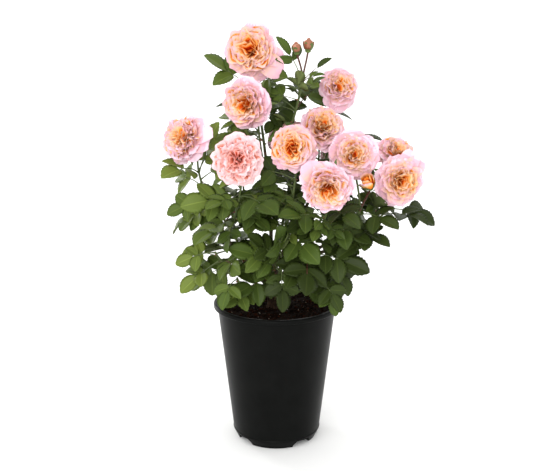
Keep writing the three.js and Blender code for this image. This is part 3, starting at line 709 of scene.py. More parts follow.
# The canes: last year's wood, green-brown and smooth with small lenticels, thicker at the collar where each
# leaves its parent, with a few down-curved prickles.
OLD_SKIN, YOUNG_SKIN, PRICKLE_SKIN = 0, 1, 2
COLLAR_LENGTH = 9
COLLAR_SWELL = 0.42
PRICKLE_STEP = 26
cane_rod = rod(14, 44)
canes = Gathered()
for stem in stems.values():
    stop = stem.bough_share + 2 / stem.length
    collar = COLLAR_LENGTH / stem.length

    def cane_radius(share):
        past_collar = np.maximum(share * stop - 0.4 * collar, 0) / collar
        return stem_radius(stem, share * stop) * (1 + COLLAR_SWELL * np.exp(-past_collar))

    points = laid(cane_rod, stem.line.part(0, stop), cane_radius)
    canes.lay(cane_rod, points, OLD_SKIN if stem.from_main else YOUNG_SKIN)

nothing_selected()
bpy.ops.mesh.primitive_cone_add(vertices=6, radius1=1, radius2=0.04, depth=1, location=(0, 0, 0.5))
prickle = bpy.context.object
bpy.ops.object.transform_apply(location=True, rotation=False, scale=False)
bpy.ops.object.mode_set(mode="EDIT")
bpy.ops.mesh.select_all(action="SELECT")
bpy.ops.mesh.bisect(plane_co=(0, 0, 0.5), plane_no=(0, 0, 1))
bpy.ops.transform.translate(value=(0, -0.14, 0))
bpy.ops.object.mode_set(mode="OBJECT")
prickle = taken(prickle)
for stem in stems.values():
    for k in range(int(stem.length / PRICKLE_STEP)):
        share = chance(stem.number, k, 61)
        along = stem.line.along(share)
        out = swung(unit(np.cross(along, [0.3, 1, 0.2])), along, 6.28 * chance(stem.number, k, 62))
        size = 3.2 + 1.6 * chance(stem.number, k, 63)
        base = stem.line.at(share) + out * (stem_radius(stem, share) - 0.4)
        local = prickle.points * (0.34 * size, 0.5 * size, size)
        tip_down = local[:, 2:] * out - (local[:, 2:] ** 2 / size) * 0.35 * along
        side = np.cross(along, out)
        canes.lay(prickle, base + local[:, :1] * side + local[:, 1:2] * along + tip_down, PRICKLE_SKIN)
canes = canes.piece("canes")
heaved(canes, 0.006, 0.0005)
heaved(canes, 0.0016, 0.00035)

# Cane skin: satin, green on young wood and browner on old, with a brown flush in patches some 8 mm long. A
# prickle has dried to a dull red-brown.
CANE_SKINS = {
    "old_cane_skin": [(0.3, "#2E2216"), (0.5, "#4A3F24"), (0.72, "#616034")],
    "young_cane_skin": [(0.3, "#4C4524"), (0.5, "#5F6B30"), (0.74, "#7B8B42")],
}
for name, flush in CANE_SKINS.items():
    skin = finish(name, flush[1][1], Roughness=0.6)
    coloured_relief(skin, 0.00833, 5, 0.7, flush, 0.3, 0.0006)
    put_on(canes, skin)
put_on(canes, finish("dry_prickle", "#7A4A32", Roughness=0.6))
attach(canes, "root")
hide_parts(*(f"cane_{name}" for name in stems))

# The shoots: this year's soft green stems above the canes, and the thin stalks of the blooms and of the buds,
# which are flushed red.
GREEN_STEM, RED_STEM = 0, 1
shoot_rod = rod(9, 20)
stalk_rod = rod(7, 10)
shoots = Gathered()
for stem in stems.values():
    points = laid(
        shoot_rod,
        stem.line.part(stem.bough_share, 1),
        lambda share: stem_radius(stem, mix(stem.bough_share, 1, share)),
    )
    shoots.lay(shoot_rod, points, GREEN_STEM)
    for flower in stem.flowers:
        leave = stem.line.along(1.0)
        root = stem.head - 3 * leave
        last = flower.foot - flower.face * PEDICEL * (0.3 if flower.is_bud else 0.4)
        end = flower.foot + flower.face * flower.radius * 0.12
        thick = 1.6 if flower.is_bud else 1.7
        stalk = Line(root, root + leave * PEDICEL * 0.4, last, end)
        points = laid(stalk_rod, stalk, lambda share: thick + 0.5 * share**8)
        shoots.lay(stalk_rod, points, RED_STEM if flower.is_bud else GREEN_STEM)

# The leaves: three or five toothed leaflets on a thin stalk. A leaflet is a thin blade folded along its
# midrib and arched to its tip, satin and green above, paler and matt below.
STALK = 54
STALK_RADIUS = 0.9
LEAFLET = 44
LEAFLET_ROWS = 16
TIP_DROP = 0.12
STEP_ROUND = 144
LEAF_SEEDS = 40
TRIES = 8
SLIM_ABOVE = 605
TOP_SIDE, MIDRIB, UNDER_SIDE = 0, 1, 2
# A pair of side leaflets: its share of the stalk, its swing from the stalk in radians, and its size.
PAIRS = [(0.46, 1.2, 0.78), (0.8, 1.08, 0.9)]

# A lead is a leaf with a set place: its share of the stem's line, azimuth, lift and droop in degrees, size,
# and pairs of side leaflets.
LEADS = {
    "left": [(0.98, 30, 64, 20, 0.9, 2), (0.8, 188, -4, 18, 0.72, 2)],
    "mid_left": [(0.96, 192, -12, 26, 0.8, 2)],
    "low_left": [(0.98, 186, 4, 26, 0.7, 1), (0.8, 196, -26, 14, 0.86, 1)],
    "top": [(0.96, 182, 30, -5, 1, 1)],
    "bud_spray": [
        (0.98, 172, 72, 14, 0.84, 1), (0.94, -30, 62, 52, 0.5, 1), (0.86, -18, 16, 8, 0.5, 1),
        (0.7, 176, 48, 30, 0.76, 1), (0.8, 270, 66, 20, 0.62, 1),
    ],
    "right": [(0.8, -32, 6, 22, 0.8, 2)],
    "low_right": [(0.95, -14, 2, 24, 1.02, 2)],
    "far_right": [(0.92, -44, 16, 16, 0.92, 1)],
    "side_right": [(0.95, -36, -20, 46, 0.8, 1)],
    "rim_left": [(0.97, 242, 8, 56, 0.7, 1)],
    "low_front": [(0.95, -88, -42, 36, 0.8, 2)],
    "rim_right": [(0.97, -42, -16, 42, 0.72, 2)],
}


def blade_sheet(columns, width, arch, groove, teeth):
    """One side of a leaflet: a grid from x 0 to 1, drawn to the toothed outline, folded and arched."""
    nothing_selected()
    rows, place = LEAFLET_ROWS, (0.5, 0, 0)
    bpy.ops.mesh.primitive_grid_add(x_subdivisions=rows, y_subdivisions=columns, size=1, location=place)
    sheet = bpy.context.object
    bpy.ops.object.transform_apply(location=True, rotation=False, scale=False)
    bpy.ops.object.mode_set(mode="EDIT")
    if columns > 2:
        pick(sheet, lambda co: abs(abs(co.y) - 0.1) < 0.01)
        bpy.ops.transform.resize(value=(1, 0.26, 1), center_override=(0, 0, 0))
    for row in range(LEAFLET_ROWS + 1):
        x = row / LEAFLET_ROWS
        is_end = row in (0, LEAFLET_ROWS)
        full = 0.02 if is_end else math.sin(math.pi * x**0.94) ** (0.50 + 0.22 * x * x)
        pick(sheet, lambda co: abs(co.x - x) < 1e-3)
        bpy.ops.transform.resize(value=(1, width * full, 1), center_override=(x, 0, 0))
        drop = arch * max(0, (x - 0.4) / 0.6) ** 2 + 0.25 * arch * max(0, (0.25 - x) / 0.25) ** 2
        bpy.ops.transform.translate(value=(0, 0, -drop))
        if is_end:
            continue
        half = 0.5 * width * full
        out, forward, rise = (1 + teeth, 0.010, 0.007) if row % 2 else (1 - 0.6 * teeth, -0.006, -0.005)
        pick(sheet, lambda co: abs(co.x - x) < 1e-3 and abs(co.y) > 0.95 * half)
        bpy.ops.transform.resize(value=(1, out, 1), center_override=(x, 0, 0))
        bpy.ops.transform.translate(value=(forward, 0, 0))
        pick(sheet, lambda co: abs(co.x - x) < 4e-3 and 0.3 * half < abs(co.y) < 0.8 * half)
        bpy.ops.transform.translate(value=(0, 0, rise))
    pick(sheet, lambda co: abs(co.y) < 0.1 * width * 0.5 + 1e-4)
    bpy.ops.transform.translate(value=(0, 0, -groove))
    bpy.ops.object.mode_set(mode="OBJECT")
    return sheet


def modelled_leaflet(width, arch, fold, teeth):
    """A closed leaflet: a toothed upper sheet of five columns over a plain lower one, merged at the edges."""
    under = blade_sheet(2, width, arch, 0.014, teeth)
    bpy.ops.object.mode_set(mode="EDIT")
    bpy.ops.mesh.select_all(action="SELECT")
    bpy.ops.mesh.flip_normals()
    over = blade_sheet(5, width, arch, 0.003, teeth)
    only(over)
    under.select_set(True)
    bpy.ops.object.join()
    bpy.ops.object.mode_set(mode="EDIT")
    bpy.ops.mesh.select_all(action="SELECT")
    bpy.ops.mesh.remove_doubles(threshold=2e-3)
    bpy.ops.mesh.dissolve_degenerate(threshold=1e-5)
    bpy.ops.object.mode_set(mode="OBJECT")
    shape = taken(over)
    corners = shape.points[shape.triangles]
    normals = np.cross(corners[:, 1] - corners[:, 0], corners[:, 2] - corners[:, 0])
    near_rib = np.abs(corners[:, :, 1]).max(axis=1) < 0.055 * width
    shape.slots = np.where(normals[:, 2] < 0, UNDER_SIDE, np.where(near_rib, MIDRIB, TOP_SIDE))
    shape.points[:, 2] += fold * np.abs(shape.points[:, 1])
    return shape


leaflets = [
    modelled_leaflet(0.70, 0.07, 0.30, 0.06),
    modelled_leaflet(0.64, 0.12, 0.40, 0.07),
    modelled_leaflet(0.74, 0.04, 0.22, 0.06),
    modelled_leaflet(0.78, 0.10, 0.26, 0.05),
]
slim_leaflet = modelled_leaflet(0.42, 0.12, 0.42, 0.07)
leaf_stalk = rod(5, 8)


def leaf_plan(base, leave, ends, roll, size, pairs):
    """A leaf whose stalk leaves one way and ends another, and whose upper side looks to the light."""
    knee = base + leave * STALK * 0.5 * size
    end = knee + ends * STALK * 0.5 * size
    light = UP + 0.3 * leave
    light[0] += 0.7 * (base[0] - MAIN_TOP[0]) / 120
    light[1] += 0.7 * (base[1] - MAIN_TOP[1]) / 120 - (0.8 if base[1] < 40 else 0)
    face = unit(swung(unit(light - ends * (light @ ends)), ends, roll))
    return SimpleNamespace(
        line=Line(base, mix(base, knee, 0.7), mix(end, knee, 0.7), end), end=end, ends=ends, face=face,
        size=size, pairs=PAIRS[-pairs:] if pairs else [], is_slim=end[2] > SLIM_ABOVE,
    )


def led_leaf(stem, lead, seed, attempt):
    """A leaf with a set place, which strays a little further with each try."""
    share, azimuth, lift, droop, size, pairs = lead
    stray = 5 * attempt
    turn = math.radians(azimuth + stray * sway(seed, 11, attempt))
    rise = lift + stray * sway(seed, 12, attempt)
    leave, ends = (
        np.array([math.cos(turn) * math.cos(r), math.sin(turn) * math.cos(r), math.sin(r)])
        for r in (math.radians(rise), math.radians(rise - droop))
    )
    return leaf_plan(stem.line.at(share), leave, ends, 0.35 * sway(seed, 13, attempt), size, pairs)


def lead_leaf(stem, leaf, attempt):
    return led_leaf(stem, LEADS[stem.name][leaf], stem.number * LEAF_SEEDS + leaf, attempt)


def ruled_leaf(stem, leaf, attempt):
    """One of a stem's own leaves, a step further round it than the last."""
    seed = stem.number * LEAF_SEEDS + leaf
    first = stem.bough_share + 14 / stem.length
    last = 1 if stem.has_tip else 0.97
    share = mix(first, last, (leaf + 0.15 * sway(seed, 1, 0)) / max(1, stem.leaves - 1))
    share = min(last, max(first, share))
    base = stem.line.at(share)
    along = stem.line.along(share)
    swing = (1 if attempt % 2 else -1) * math.ceil(attempt / 2) * 34
    turn = math.radians(stem.turn + STEP_ROUND * leaf + 24 * sway(seed, 2, 0) + swing)
    outward = np.array([base[0] - MAIN_TOP[0], base[1] - MAIN_TOP[1], 0])
    if np.linalg.norm(outward) > 1:
        outward = unit(outward)
    radial = np.array([math.cos(turn), math.sin(turn), 0])
    radial = unit(radial - along * (radial @ along) + 0.35 * outward)
    lift = mix(0.1, 0.62, share) + 0.22 * sway(seed, 3, attempt)
    leave = unit(radial + UP * lift)
    if stem.has_tip and leaf == stem.leaves - 1:
        leave = unit(mix(leave, along, 0.8))
    ends = unit(leave - UP * (0.42 + 0.25 * chance(seed, 4, attempt)))
    size = (0.82 + 0.26 * chance(seed, 5, attempt)) * (1 - 0.025 * attempt)
    near_bloom = not stem.has_tip and leaf >= stem.leaves - 2
    return leaf_plan(base, leave, ends, 0.5 * sway(seed, 6, attempt), size, 1 if near_bloom else 2)


def blades_of(plan):
    """Each leaflet's root, direction and length: the side pairs and then the one at the tip."""
    full = LEAFLET * plan.size
    blades = []
    for share, swing, scale in plan.pairs:
        for side in (swing, -swing):
            blades.append((plan.line.at(share), swung(plan.ends, plan.face, side), full * scale))
    return blades + [(plan.end, plan.ends, full)]


# Places on a leaflet, as shares of its length, that are kept clear of other leaves.
SPOTS = [(0.2, 0), (0.45, -0.34), (0.45, 0), (0.45, 0.34), (0.75, -0.2), (0.75, 0.2), (1, 0)]


def spots_of(plan):
    """Those places on each of a leaf's leaflets."""
    points = []
    for root, direction, length in blades_of(plan):
        out = unit(np.cross(plan.face, direction))
        points += [root + direction * length * x + out * length * y for x, y in SPOTS]
    return np.array(points)


# The leaves that the solids carry: of each leaf's tries, the one whose tip is a corner of its shoot's solid.
plans = []
for stem in stems.values():
    stem.corners = np.array([v.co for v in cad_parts[f"shoot_{stem.name}"].data.vertices], float) * 1000
    own = [(lead_leaf, k) for k in range(len(LEADS.get(stem.name, [])))]
    own += [(ruled_leaf, k) for k in range(stem.leaves)]
    for plan_of, leaf in own:
        for attempt in range(TRIES):
            plan = plan_of(stem, leaf, attempt)
            above = np.cross(plan.ends, np.cross(plan.face, plan.ends))
            tip = plan.end + (plan.ends - above * TIP_DROP) * LEAFLET * plan.size
            if np.linalg.norm(stem.corners - tip, axis=1).min() < 0.5:
                plan.is_slim = plan.is_slim and plan.size < 0.9
                plans.append(plan)
                break

# Finer twigs: between the leaves of each shoot stand short side twigs with smaller leaves, some at set places
# and the rest by the same step round the shoot. They keep near its solid, and off blooms and other leaves.
FINER = 18
FINER_TRIES = 10
MOST_LED = 3
LED_ROOM = SimpleNamespace(past_solid=13, from_leaves=2.2)
RULED_ROOM = SimpleNamespace(past_solid=2, from_leaves=5)
FROM_LIMBS = 6
OVER_COMPOST = 2
FINE_LEADS = {
    "left": [(0.97, 24, 74, 12, 0.9, 1), (0.93, 8, 40, 16, 0.7, 1), (0.85, -40, -5, 20, 0.7, 1)],
    "front_left": [(0.68, -38, -8, 30, 0.72, 2), (0.46, 0, -8, 24, 0.74, 1)],
    "mid_left": [(0.92, 196, -34, 12, 0.64, 1)],
    "low_left": [(0.9, 175, 18, 14, 0.6, 1)],
    "top": [(0.84, -10, -16, 40, 0.6, 1)],
    "upper_left": [(0.8, 176, 0, 24, 0.9, 1), (0.6, -20, 0, 30, 0.6, 1)],
    "bud_spray": [(0.97, -4, 36, 14, 0.62, 0), (0.8, 184, 20, 4, 0.62, 1), (0.9, 200, 40, 20, 0.7, 0)],
    "centre": [(0.57, 200, 14, 22, 0.7, 2), (0.7, 170, 30, 20, 0.7, 2)],
    "right": [(0.84, -48, 6, 20, 0.66, 1)],
    "low_front": [(0.97, 196, 48, 8, 0.75, 2), (0.8, 190, 20, 10, 0.6, 1)],
    "rim_left": [(0.95, 190, 0, 30, 0.7, 1)],
    "rim_right": [(0.95, -30, -26, 40, 0.7, 1)],
}
# Where sky shows between the leaves from the front: places in the plane y 0, and the radius kept open.
SKY_GAPS = [(125, 535, 20), (-145, 430, 14), (-165, 425, 14), (10, 620, 16), (180, 360, 18), (-85, 590, 14)]
# The bush is thin far out at the left and near its top, and bare low in front.
THIN_LEFT_OF = -70
THINNED = 0.6
THIN_ABOVE = 540
THIN_SIZE = 0.56
BARE_BELOW = 310
BARE_WITHIN = 75
FRONT = unit(np.array([0, -1, 0.12]))
SPREAD = np.array([unit(np.array([sway(k, 71, 1), sway(k, 71, 2), sway(k, 71, 3)])) for k in range(90)])


def near_line(points, start, stop, width):
    """Whether any point is within a width of a straight line."""
    way = stop - start
    share = np.clip((points - start) @ way / (way @ way), 0, 1)
    return (np.linalg.norm(points - start - share[:, None] * way, axis=1) < width).any()


def hides_bloom(points):
    """Whether any point is in a bloom, or stands before it as it faces or as it is seen from the front."""
    for stem in stems.values():
        for flower in stem.flowers:
            c, r = flower.centre, flower.radius
            before, in_front = (12, 40) if flower.is_bud else (60, 130)
            if (np.linalg.norm(points - c, axis=1) < 1.05 * r + 3).any():
                return True
            if near_line(points, c, c + flower.face * before, 0.9 * r):
                return True
            if flower.face[1] < 0 and near_line(points, c, c + FRONT * in_front, 0.9 * r):
                return True
    return False


def in_open_part(plan, points, number, k, attempt):
    """Whether a leaf stands where the bush is open: thin at the left and the top, bare low in front, and open
    to the sky in the gaps."""
    x, y, z = plan.end
    if x < THIN_LEFT_OF and chance(number, k, 36 + attempt) < THINNED:
        return True
    if z > THIN_ABOVE and plan.size < THIN_SIZE or z < BARE_BELOW and y < 0 and abs(x) < BARE_WITHIN:
        return True
    eye = 1000 * np.array(CAMERA_AT)
    way = points - eye
    seen = eye + way * (-eye[1] / way[:, 1])[:, None]
    return any((np.hypot(seen[:, 0] - u, seen[:, 2] - v) < radius).any() for u, v, radius in SKY_GAPS)


def finer_leaf(stem, k, attempt):
    """One of the smaller leaves, which stand between a stem's own."""
    seed = stem.number * LEAF_SEEDS + LEAF_SEEDS // 2 + k
    share = mix(stem.bough_share + 8 / stem.length, 0.97, (k * 0.382 + 0.2) % 1)
    along = stem.line.along(share)
    turn = math.radians(stem.turn + 72 + STEP_ROUND * k + 60 * attempt + 20 * sway(seed, 31, attempt))
    radial = np.array([math.cos(turn), math.sin(turn), 0])
    radial = unit(radial - along * (radial @ along))
    leave = unit(radial + UP * (0.35 + 0.4 * sway(seed, 32, attempt)))
    ends = unit(leave - UP * (0.1 + 0.5 * chance(seed, 33, attempt)))
    roll = 0.6 * sway(seed, 35, attempt)
    size = 0.46 + 0.4 * chance(seed, 34, attempt)
    return leaf_plan(stem.line.at(share), leave, ends, roll, size, 1 + (k + attempt) % 2)


limb_points = np.concatenate([stem.line.at(np.linspace(0, 1, 30)) for stem in stems.values()])
leaf_points = np.concatenate([spots_of(plan) for plan in plans])
for k in range(-MOST_LED, FINER):
    room = LED_ROOM if k < 0 else RULED_ROOM
    for stem in stems.values():
        led = FINE_LEADS.get(stem.name, [])
        if k < 0 and k + MOST_LED >= len(led):
            continue
        limits = (stem.corners @ SPREAD.T).max(axis=0) + room.past_solid
        for attempt in range(FINER_TRIES):
            if k < 0:
                plan = led_leaf(stem, led[k + MOST_LED], stem.number * LEAF_SEEDS + k, attempt)
            else:
                plan = finer_leaf(stem, k, attempt)
            points = spots_of(plan)
            if (points @ SPREAD.T > limits).any() or points[:, 2].min() < LEVEL + OVER_COMPOST:
                continue
            if np.linalg.norm(points[:, None] - leaf_points[None], axis=2).min() < room.from_leaves:
                continue
            if np.linalg.norm(points[-len(SPOTS) :, None] - limb_points[None], axis=2).min() < FROM_LIMBS:
                continue
            if hides_bloom(points) or k >= 0 and in_open_part(plan, points, stem.number, k, attempt):
                continue
            plans.append(plan)
            leaf_points = np.concatenate([leaf_points, points])
            break

# Rose leaves are satin above, with a paler midrib, and matt and greyer below, and none of them shines much.
# The greens go from the yellow-green of young leaves to a dark green. Which green a leaf gets is partly its
# age
# and chance and partly painted shade: leaves to the right, near the middle and at the back of the bush, and
# low down, are given darker greens as painted shade, and leaves to the left and near the top lighter ones as
# painted light.
LEAF_GREENS = [
    ("#697833", "#7E8D42", "#7F8A55"), ("#5E6E2E", "#71813A", "#757F4E"), ("#526329", "#647433", "#6A7547"),
    ("#485A24", "#58692D", "#5F6A40"), ("#3E4E1F", "#4D5D28", "#556038"), ("#344119", "#424F23", "#4B5531"),
    ("#2C3715", "#38431E", "#414A2A"),
]
# A leaf's three skins, in the order of its slots: roughness, IOR and specular level.
LEAF_SKINS = {
    "satin_leaf": (0.4, 1.42, 0.16),
    "leaf_midrib": (0.5, 1.42, 0.1),
    "matt_leaf_underside": (0.8, 1.4, 0.05),
}
greens = []
for tone, tints in enumerate(LEAF_GREENS):
    for (name, (rough, bend, gloss)), tint in zip(LEAF_SKINS.items(), tints):
        greens.append(finish(f"{name}_{tone}", tint, Roughness=rough, IOR=bend, Specular_IOR_Level=gloss))


def leaf_green_and_painted_shade(plan, number):
    """A leaf's place among the greens: lighter for small young leaves, and by chance. The rest is painted
    shade:
    darker to the right, away from the light at the left, near the middle, at the back and low down, and
    lighter near the top, partly for young growth and partly as painted light.
    """
    x, y, z = plan.end
    tone = 3.0 + (x + 10) / 55 + 0.012 * max(0, 60 - abs(x)) + 1.5 * sway(number, 41, 1)
    tone += 0.8 * (y > 30) + 0.45 * (z < 340) + 0.6 * (x < -50 and z < 430)
    return tone - 0.5 * (z > 560) - 1.3 * (plan.size < 0.62)


# The leaves are joined into three pieces, parted at these places. The blooms are parted at the second, and
# those that face away from the front are a piece too.
BACK_FROM = 45
RIGHT_FROM = 20
leaves = {"left": Gathered(), "right": Gathered(), "back": Gathered()}
for number, plan in enumerate(plans):
    side = "back" if plan.end[1] > BACK_FROM else "left" if plan.end[0] < RIGHT_FROM else "right"
    thick = STALK_RADIUS * (0.78 if plan.size < 0.7 else 1.0)
    points = laid(leaf_stalk, plan.line, lambda share: thick * (1.25 - 0.5 * share + 0.8 * (1 - share) ** 10))
    shoots.lay(leaf_stalk, points, RED_STEM if chance(number, 41, 2) < 0.12 else GREEN_STEM)
    # Painted shade: a leaf's green is darker where the bush shades it and lighter where the light falls on
    # it.
    tone = leaf_green_and_painted_shade(plan, number)
    for b, (root, direction, length) in enumerate(blades_of(plan)):
        shape = slim_leaflet if plan.is_slim else leaflets[int(4 * chance(number, b, 42)) % 4]
        face = swung(plan.face, direction, 0.42 * sway(number, b, 43))
        direction = swung(direction, unit(np.cross(face, direction)), 0.2 * sway(number, b, 44))
        out = unit(np.cross(face, direction))
        points = root + length * shape.points @ np.array([direction, out, np.cross(direction, out)])
        own_tone = round(min(len(LEAF_GREENS) - 1, max(0, tone + 0.7 * sway(number, b, 45))))
        leaves[side].lay(shape, points, 3 * own_tone + shape.slots)

all_shoots = [f"shoot_{name}" for name in stems]
for side, gathered in leaves.items():
    piece = gathered.piece(f"leaves_{side}")
    put_on(piece, *greens)
    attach(piece, "root")
    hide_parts(*all_shoots)

# The skin of a soft shoot is satin and grey-green, and red-brown where the sun has flushed it.
shoots = shoots.piece("shoots")
put_on(shoots, finish("green_shoot_skin", "#4E5C2C", Roughness=0.5))
put_on(shoots, finish("red_flushed_stalk", "#532C1D", Roughness=0.5))
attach(shoots, "root")
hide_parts(*all_shoots)

# The blooms: full quartered rosettes, apricot to orange at the heart and pale pink at the rim. Broad guard
# petals lie open round a mass of small upright petals folded like frills. Buds are wrapped in a few petals.
PETALS = {
    "warm_petal": [
        "#D84E18", "#E86A20", "#F0842E", "#F4963C", "#F5A44E", "#F5B268",
        "#F5C084", "#F4CA9C", "#F3CCB0", "#F1C8BD", "#EFC0C4", "#EDBCCC", "#F2D2DF",
    ],
    "pink_petal": [
        "#CC5A34", "#DC7150", "#E6886E", "#EE9E8A", "#F3B0A5", "#F6BFB7", "#F7CAC8", "#F7D3D7", "#F8DEE6",
    ],
    "dusky_bud": ["#85503A", "#A06C56", "#B98570", "#CC9E8E"],
}
WARM_COUNT, PINK_COUNT, DUSKY_COUNT = (len(tints) for tints in PETALS.values())
WARM_HEART, PINK_HEART = 2, WARM_COUNT + 6
# A ring: its number of petals; as shares of the bloom's radius, how far out and how high they start, their
# length and their width; their lift in degrees at base, middle and tip; how ruffled they are; and how pale
# they are at the base and at the tip. The rings run from the guard petals inwards.
OPEN_RINGS = [
    (9, 0.08, -0.50, 1.06, 0.88, (60, 18, -30), 0.07, 0.56, 1.00),
    (9, 0.08, -0.48, 1.03, 0.84, (62, 30, -14), 0.09, 0.48, 0.98),
    (9, 0.08, -0.46, 0.98, 0.78, (68, 42, -2), 0.11, 0.36, 0.94),
    (10, 0.08, -0.44, 0.95, 0.70, (74, 54, 12), 0.11, 0.26, 0.88),
    (10, 0.07, -0.42, 0.90, 0.62, (80, 64, 30), 0.10, 0.16, 0.82),
]
SEPAL_RING = (5, 0.16, -0.50, 0.92, 0.26, (20, -28, -64), 0.03, 0, 0)
# A cupped bloom has a small heart inside two more rings of upright petals.
CUP_RINGS = [
    (8, 0.07, -0.40, 0.92, 0.58, (84, 76, 52), 0.08, 0.10, 0.66),
    (7, 0.06, -0.38, 0.80, 0.50, (86, 82, 66), 0.08, 0.06, 0.56),
]
BUD_RINGS = [
    (5, 0.30, -0.94, 1.95, 1.8, (22, 90, 170), 0.03, 0.45, 0.30),
    (4, 0.20, -0.92, 1.90, 1.5, (26, 92, 160), 0.03, 0.40, 0.25),
    (3, 0.08, -0.90, 1.75, 0.9, (60, 92, 110), 0.02, 0.40, 0.25),
]
BUD_SEPAL_RING = (5, 0.35, -0.98, 1.45, 1.35, (22, 78, 66), 0.03, 0, 0)
# The bud that is just opening looks up and to the left, and its sepals have let go of it.
OPENING_FACE = (-0.42, -0.5, 0.76)
OPENING_RINGS = [
    (4, 0.30, -0.94, 2.2, 1.9, (26, 74, 84), 0.08, 0.30, 0.95),
    (4, 0.24, -0.92, 2.2, 1.6, (40, 82, 104), 0.08, 0.06, 0.55),
    (4, 0.12, -0.88, 2.1, 1.2, (60, 90, 112), 0.08, 0.00, 0.25),
    (3, 0.05, -0.84, 1.9, 0.8, (80, 92, 108), 0.08, 0.00, 0.10),
]
OPENING_SEPAL_RING = (5, 0.34, -0.98, 1.9, 0.9, (16, 64, 40), 0.04, 0, 0)
BENDS = 40
FOLDS = 38
FOLD_REACH = 0.66
GOLDEN_TURN = 2.39996
HEART_DISC = (0.36, 0.36, 0.1)
HEART_DEPTH = 0.2
# How far the folds of a cupped bloom's heart reach, as a share of its radius.
CUPPED = {"right": 0.40, "far_right": 0.46, "mid_right": 0.50}
# The heart's folds stand mostly across the radius. In a quartered bloom they stand along it, and are more.
QUARTERED = {"front_left", "left"}
MORE_QUARTERED = 1.6
# How wide a bloom is open, as a share of its solid's radius, where that is not 1.
FULLNESS = {"centre": 0.87, "front_left": 0.96, "bud_spray": 1.3}
# Petals that stand out of their bloom: angle from its right, reach, lift and width.
FLARES = {
    "top": [(-36, 1.46, -12, 0.9), (-62, 1.18, -14, 0.9), (-14, 1.26, -8, 0.8), (76, 1.14, 10, 1.1)],
    "upper_left": [(58, 1.2, 34, 1.2), (20, 1.22, 30, 1.1), (-20, 1.1, 20, 1.0)],
    "left": [
        (14, 1.5, 8, 0.8), (36, 1.3, 14, 0.9), (-6, 1.3, 6, 0.9), (176, 1.24, 0, 1.0), (200, 1.2, 4, 1.0),
    ],
    "front_right": [(128, 1.42, 20, 1.0), (102, 1.2, 24, 0.9), (150, 1.2, 16, 0.8)],
    "upright": [(-96, 1.36, -24, 1.0), (-66, 1.2, -20, 0.9), (-124, 1.16, -16, 0.9), (84, 1.1, 40, 1.0)],
    "right": [(150, 1.1, 30, 1.3), (100, 1.12, 34, 1.2), (30, 1.1, 30, 1.1)],
    "far_right": [(200, 1.12, 20, 1.0), (64, 1.34, 12, 0.9), (40, 1.26, 10, 0.9)],
}


def modelled_petal(rows, columns, base_width, shoulder, blunt):
    """A flat petal from x 0 to 1: narrow at its base, widest at its shoulder, round or pointed at its tip."""
    nothing_selected()
    bpy.ops.mesh.primitive_grid_add(x_subdivisions=rows, y_subdivisions=columns, size=1, location=(0.5, 0, 0))
    petal = bpy.context.object
    bpy.ops.object.transform_apply(location=True, rotation=False, scale=False)
    bpy.ops.object.mode_set(mode="EDIT")
    for row in range(rows + 1):
        x = row / rows
        pick(petal, lambda co: abs(co.x - x) < 1e-3)
        if x < shoulder:
            full = mix(base_width, 1.0, math.sin(x / shoulder * math.pi / 2))
        else:
            full = max(0.02, math.cos((x - shoulder) / (1 - shoulder) * 1.45)) ** blunt
        bpy.ops.transform.resize(value=(1, full, 1), center_override=(x, 0, 0))
    bpy.ops.object.mode_set(mode="OBJECT")
    petal = taken(petal)
    petal.rows = petal.points[petal.triangles][:, :, 0].mean(axis=1)
    return petal


broad_petal = modelled_petal(10, 8, 0.25, 0.66, 0.4)
folded_petal = modelled_petal(6, 11, 0.5, 0.7, 0.25)
sepal = modelled_petal(7, 4, 0.7, 0.3, 1.3)
HIP_PROFILE = [(0.07, -0.74), (0.13, -0.70), (0.17, -0.62), (0.15, -0.52), (0.22, -0.46), (0.34, -0.40)]
BUD_HIP_PROFILE = [(0.16, -1.30), (0.36, -1.22), (0.44, -1.06), (0.40, -0.92), (0.44, -0.80)]
hip = taken(spun("hip", HIP_PROFILE, 10))
bud_hip = taken(spun("bud_hip", BUD_HIP_PROFILE, 10))


def on_axis(flower, points):
    """Points given across, up and along a bloom's axis, as shares of its radius."""
    return flower.centre + flower.radius * points @ np.array([flower.across, flower.upward, flower.face])


def round_axis(flower, angle, radial, aside, axial):
    """The same for a petal that stands at an angle round that axis."""
    c, s = math.cos(angle), math.sin(angle)
    return on_axis(flower, np.stack([radial * c - aside * s, radial * s + aside * c, axial], axis=1))


def petal_points(flower, shape, angle, ring, seed, lift_by, longer=1, wider=1):
    """One open petal, bent along its lift, cupped round the bloom's axis and ruffled towards its edge."""
    _, out, height, length, width, (at_base, at_middle, at_tip), ruffle, _, _ = ring
    steps = np.linspace(0, 1, BENDS + 1)
    lift = at_base * (1 - steps) * (1 - 2 * steps) + at_middle * 4 * steps * (1 - steps)
    lift = np.radians(lift + at_tip * steps * (2 * steps - 1) + lift_by * steps)
    middle = (lift[1:] + lift[:-1]) / 2
    run = np.concatenate([[0], np.cumsum(np.cos(middle))]) / BENDS
    rise = np.concatenate([[0], np.cumsum(np.sin(middle))]) / BENDS
    u, v = shape.points[:, 0], shape.points[:, 1]
    here = np.interp(u, steps, lift)
    radial = out + length * longer * np.interp(u, steps, run)
    axial = height + length * longer * np.interp(u, steps, rise)
    cup = max(0.4, 0.9 * (out + 0.62 * length * math.cos(math.radians(at_middle))) + 0.16)
    across = v * width * wider
    aside = cup * np.sin(across / cup)
    inward = cup * (1 - np.cos(across / cup)) * (1 - 0.5 * u)
    edge = np.abs(v) * 2
    wave = np.sin(v * (7 + 4 * chance(seed, 1, 51)) + 6.28 * chance(seed, 2, 51)) * (0.4 + edge)
    wave = wave + 0.5 * np.sin(v * 17 + u * 5 + 6.28 * chance(seed, 3, 51)) * u**3
    inward = inward + ruffle * u**2 * wave
    radial = radial - np.sin(here) * inward
    axial = axial + np.cos(here) * inward - 0.05 * u**6 * edge**2
    return round_axis(flower, angle, radial, aside, axial)


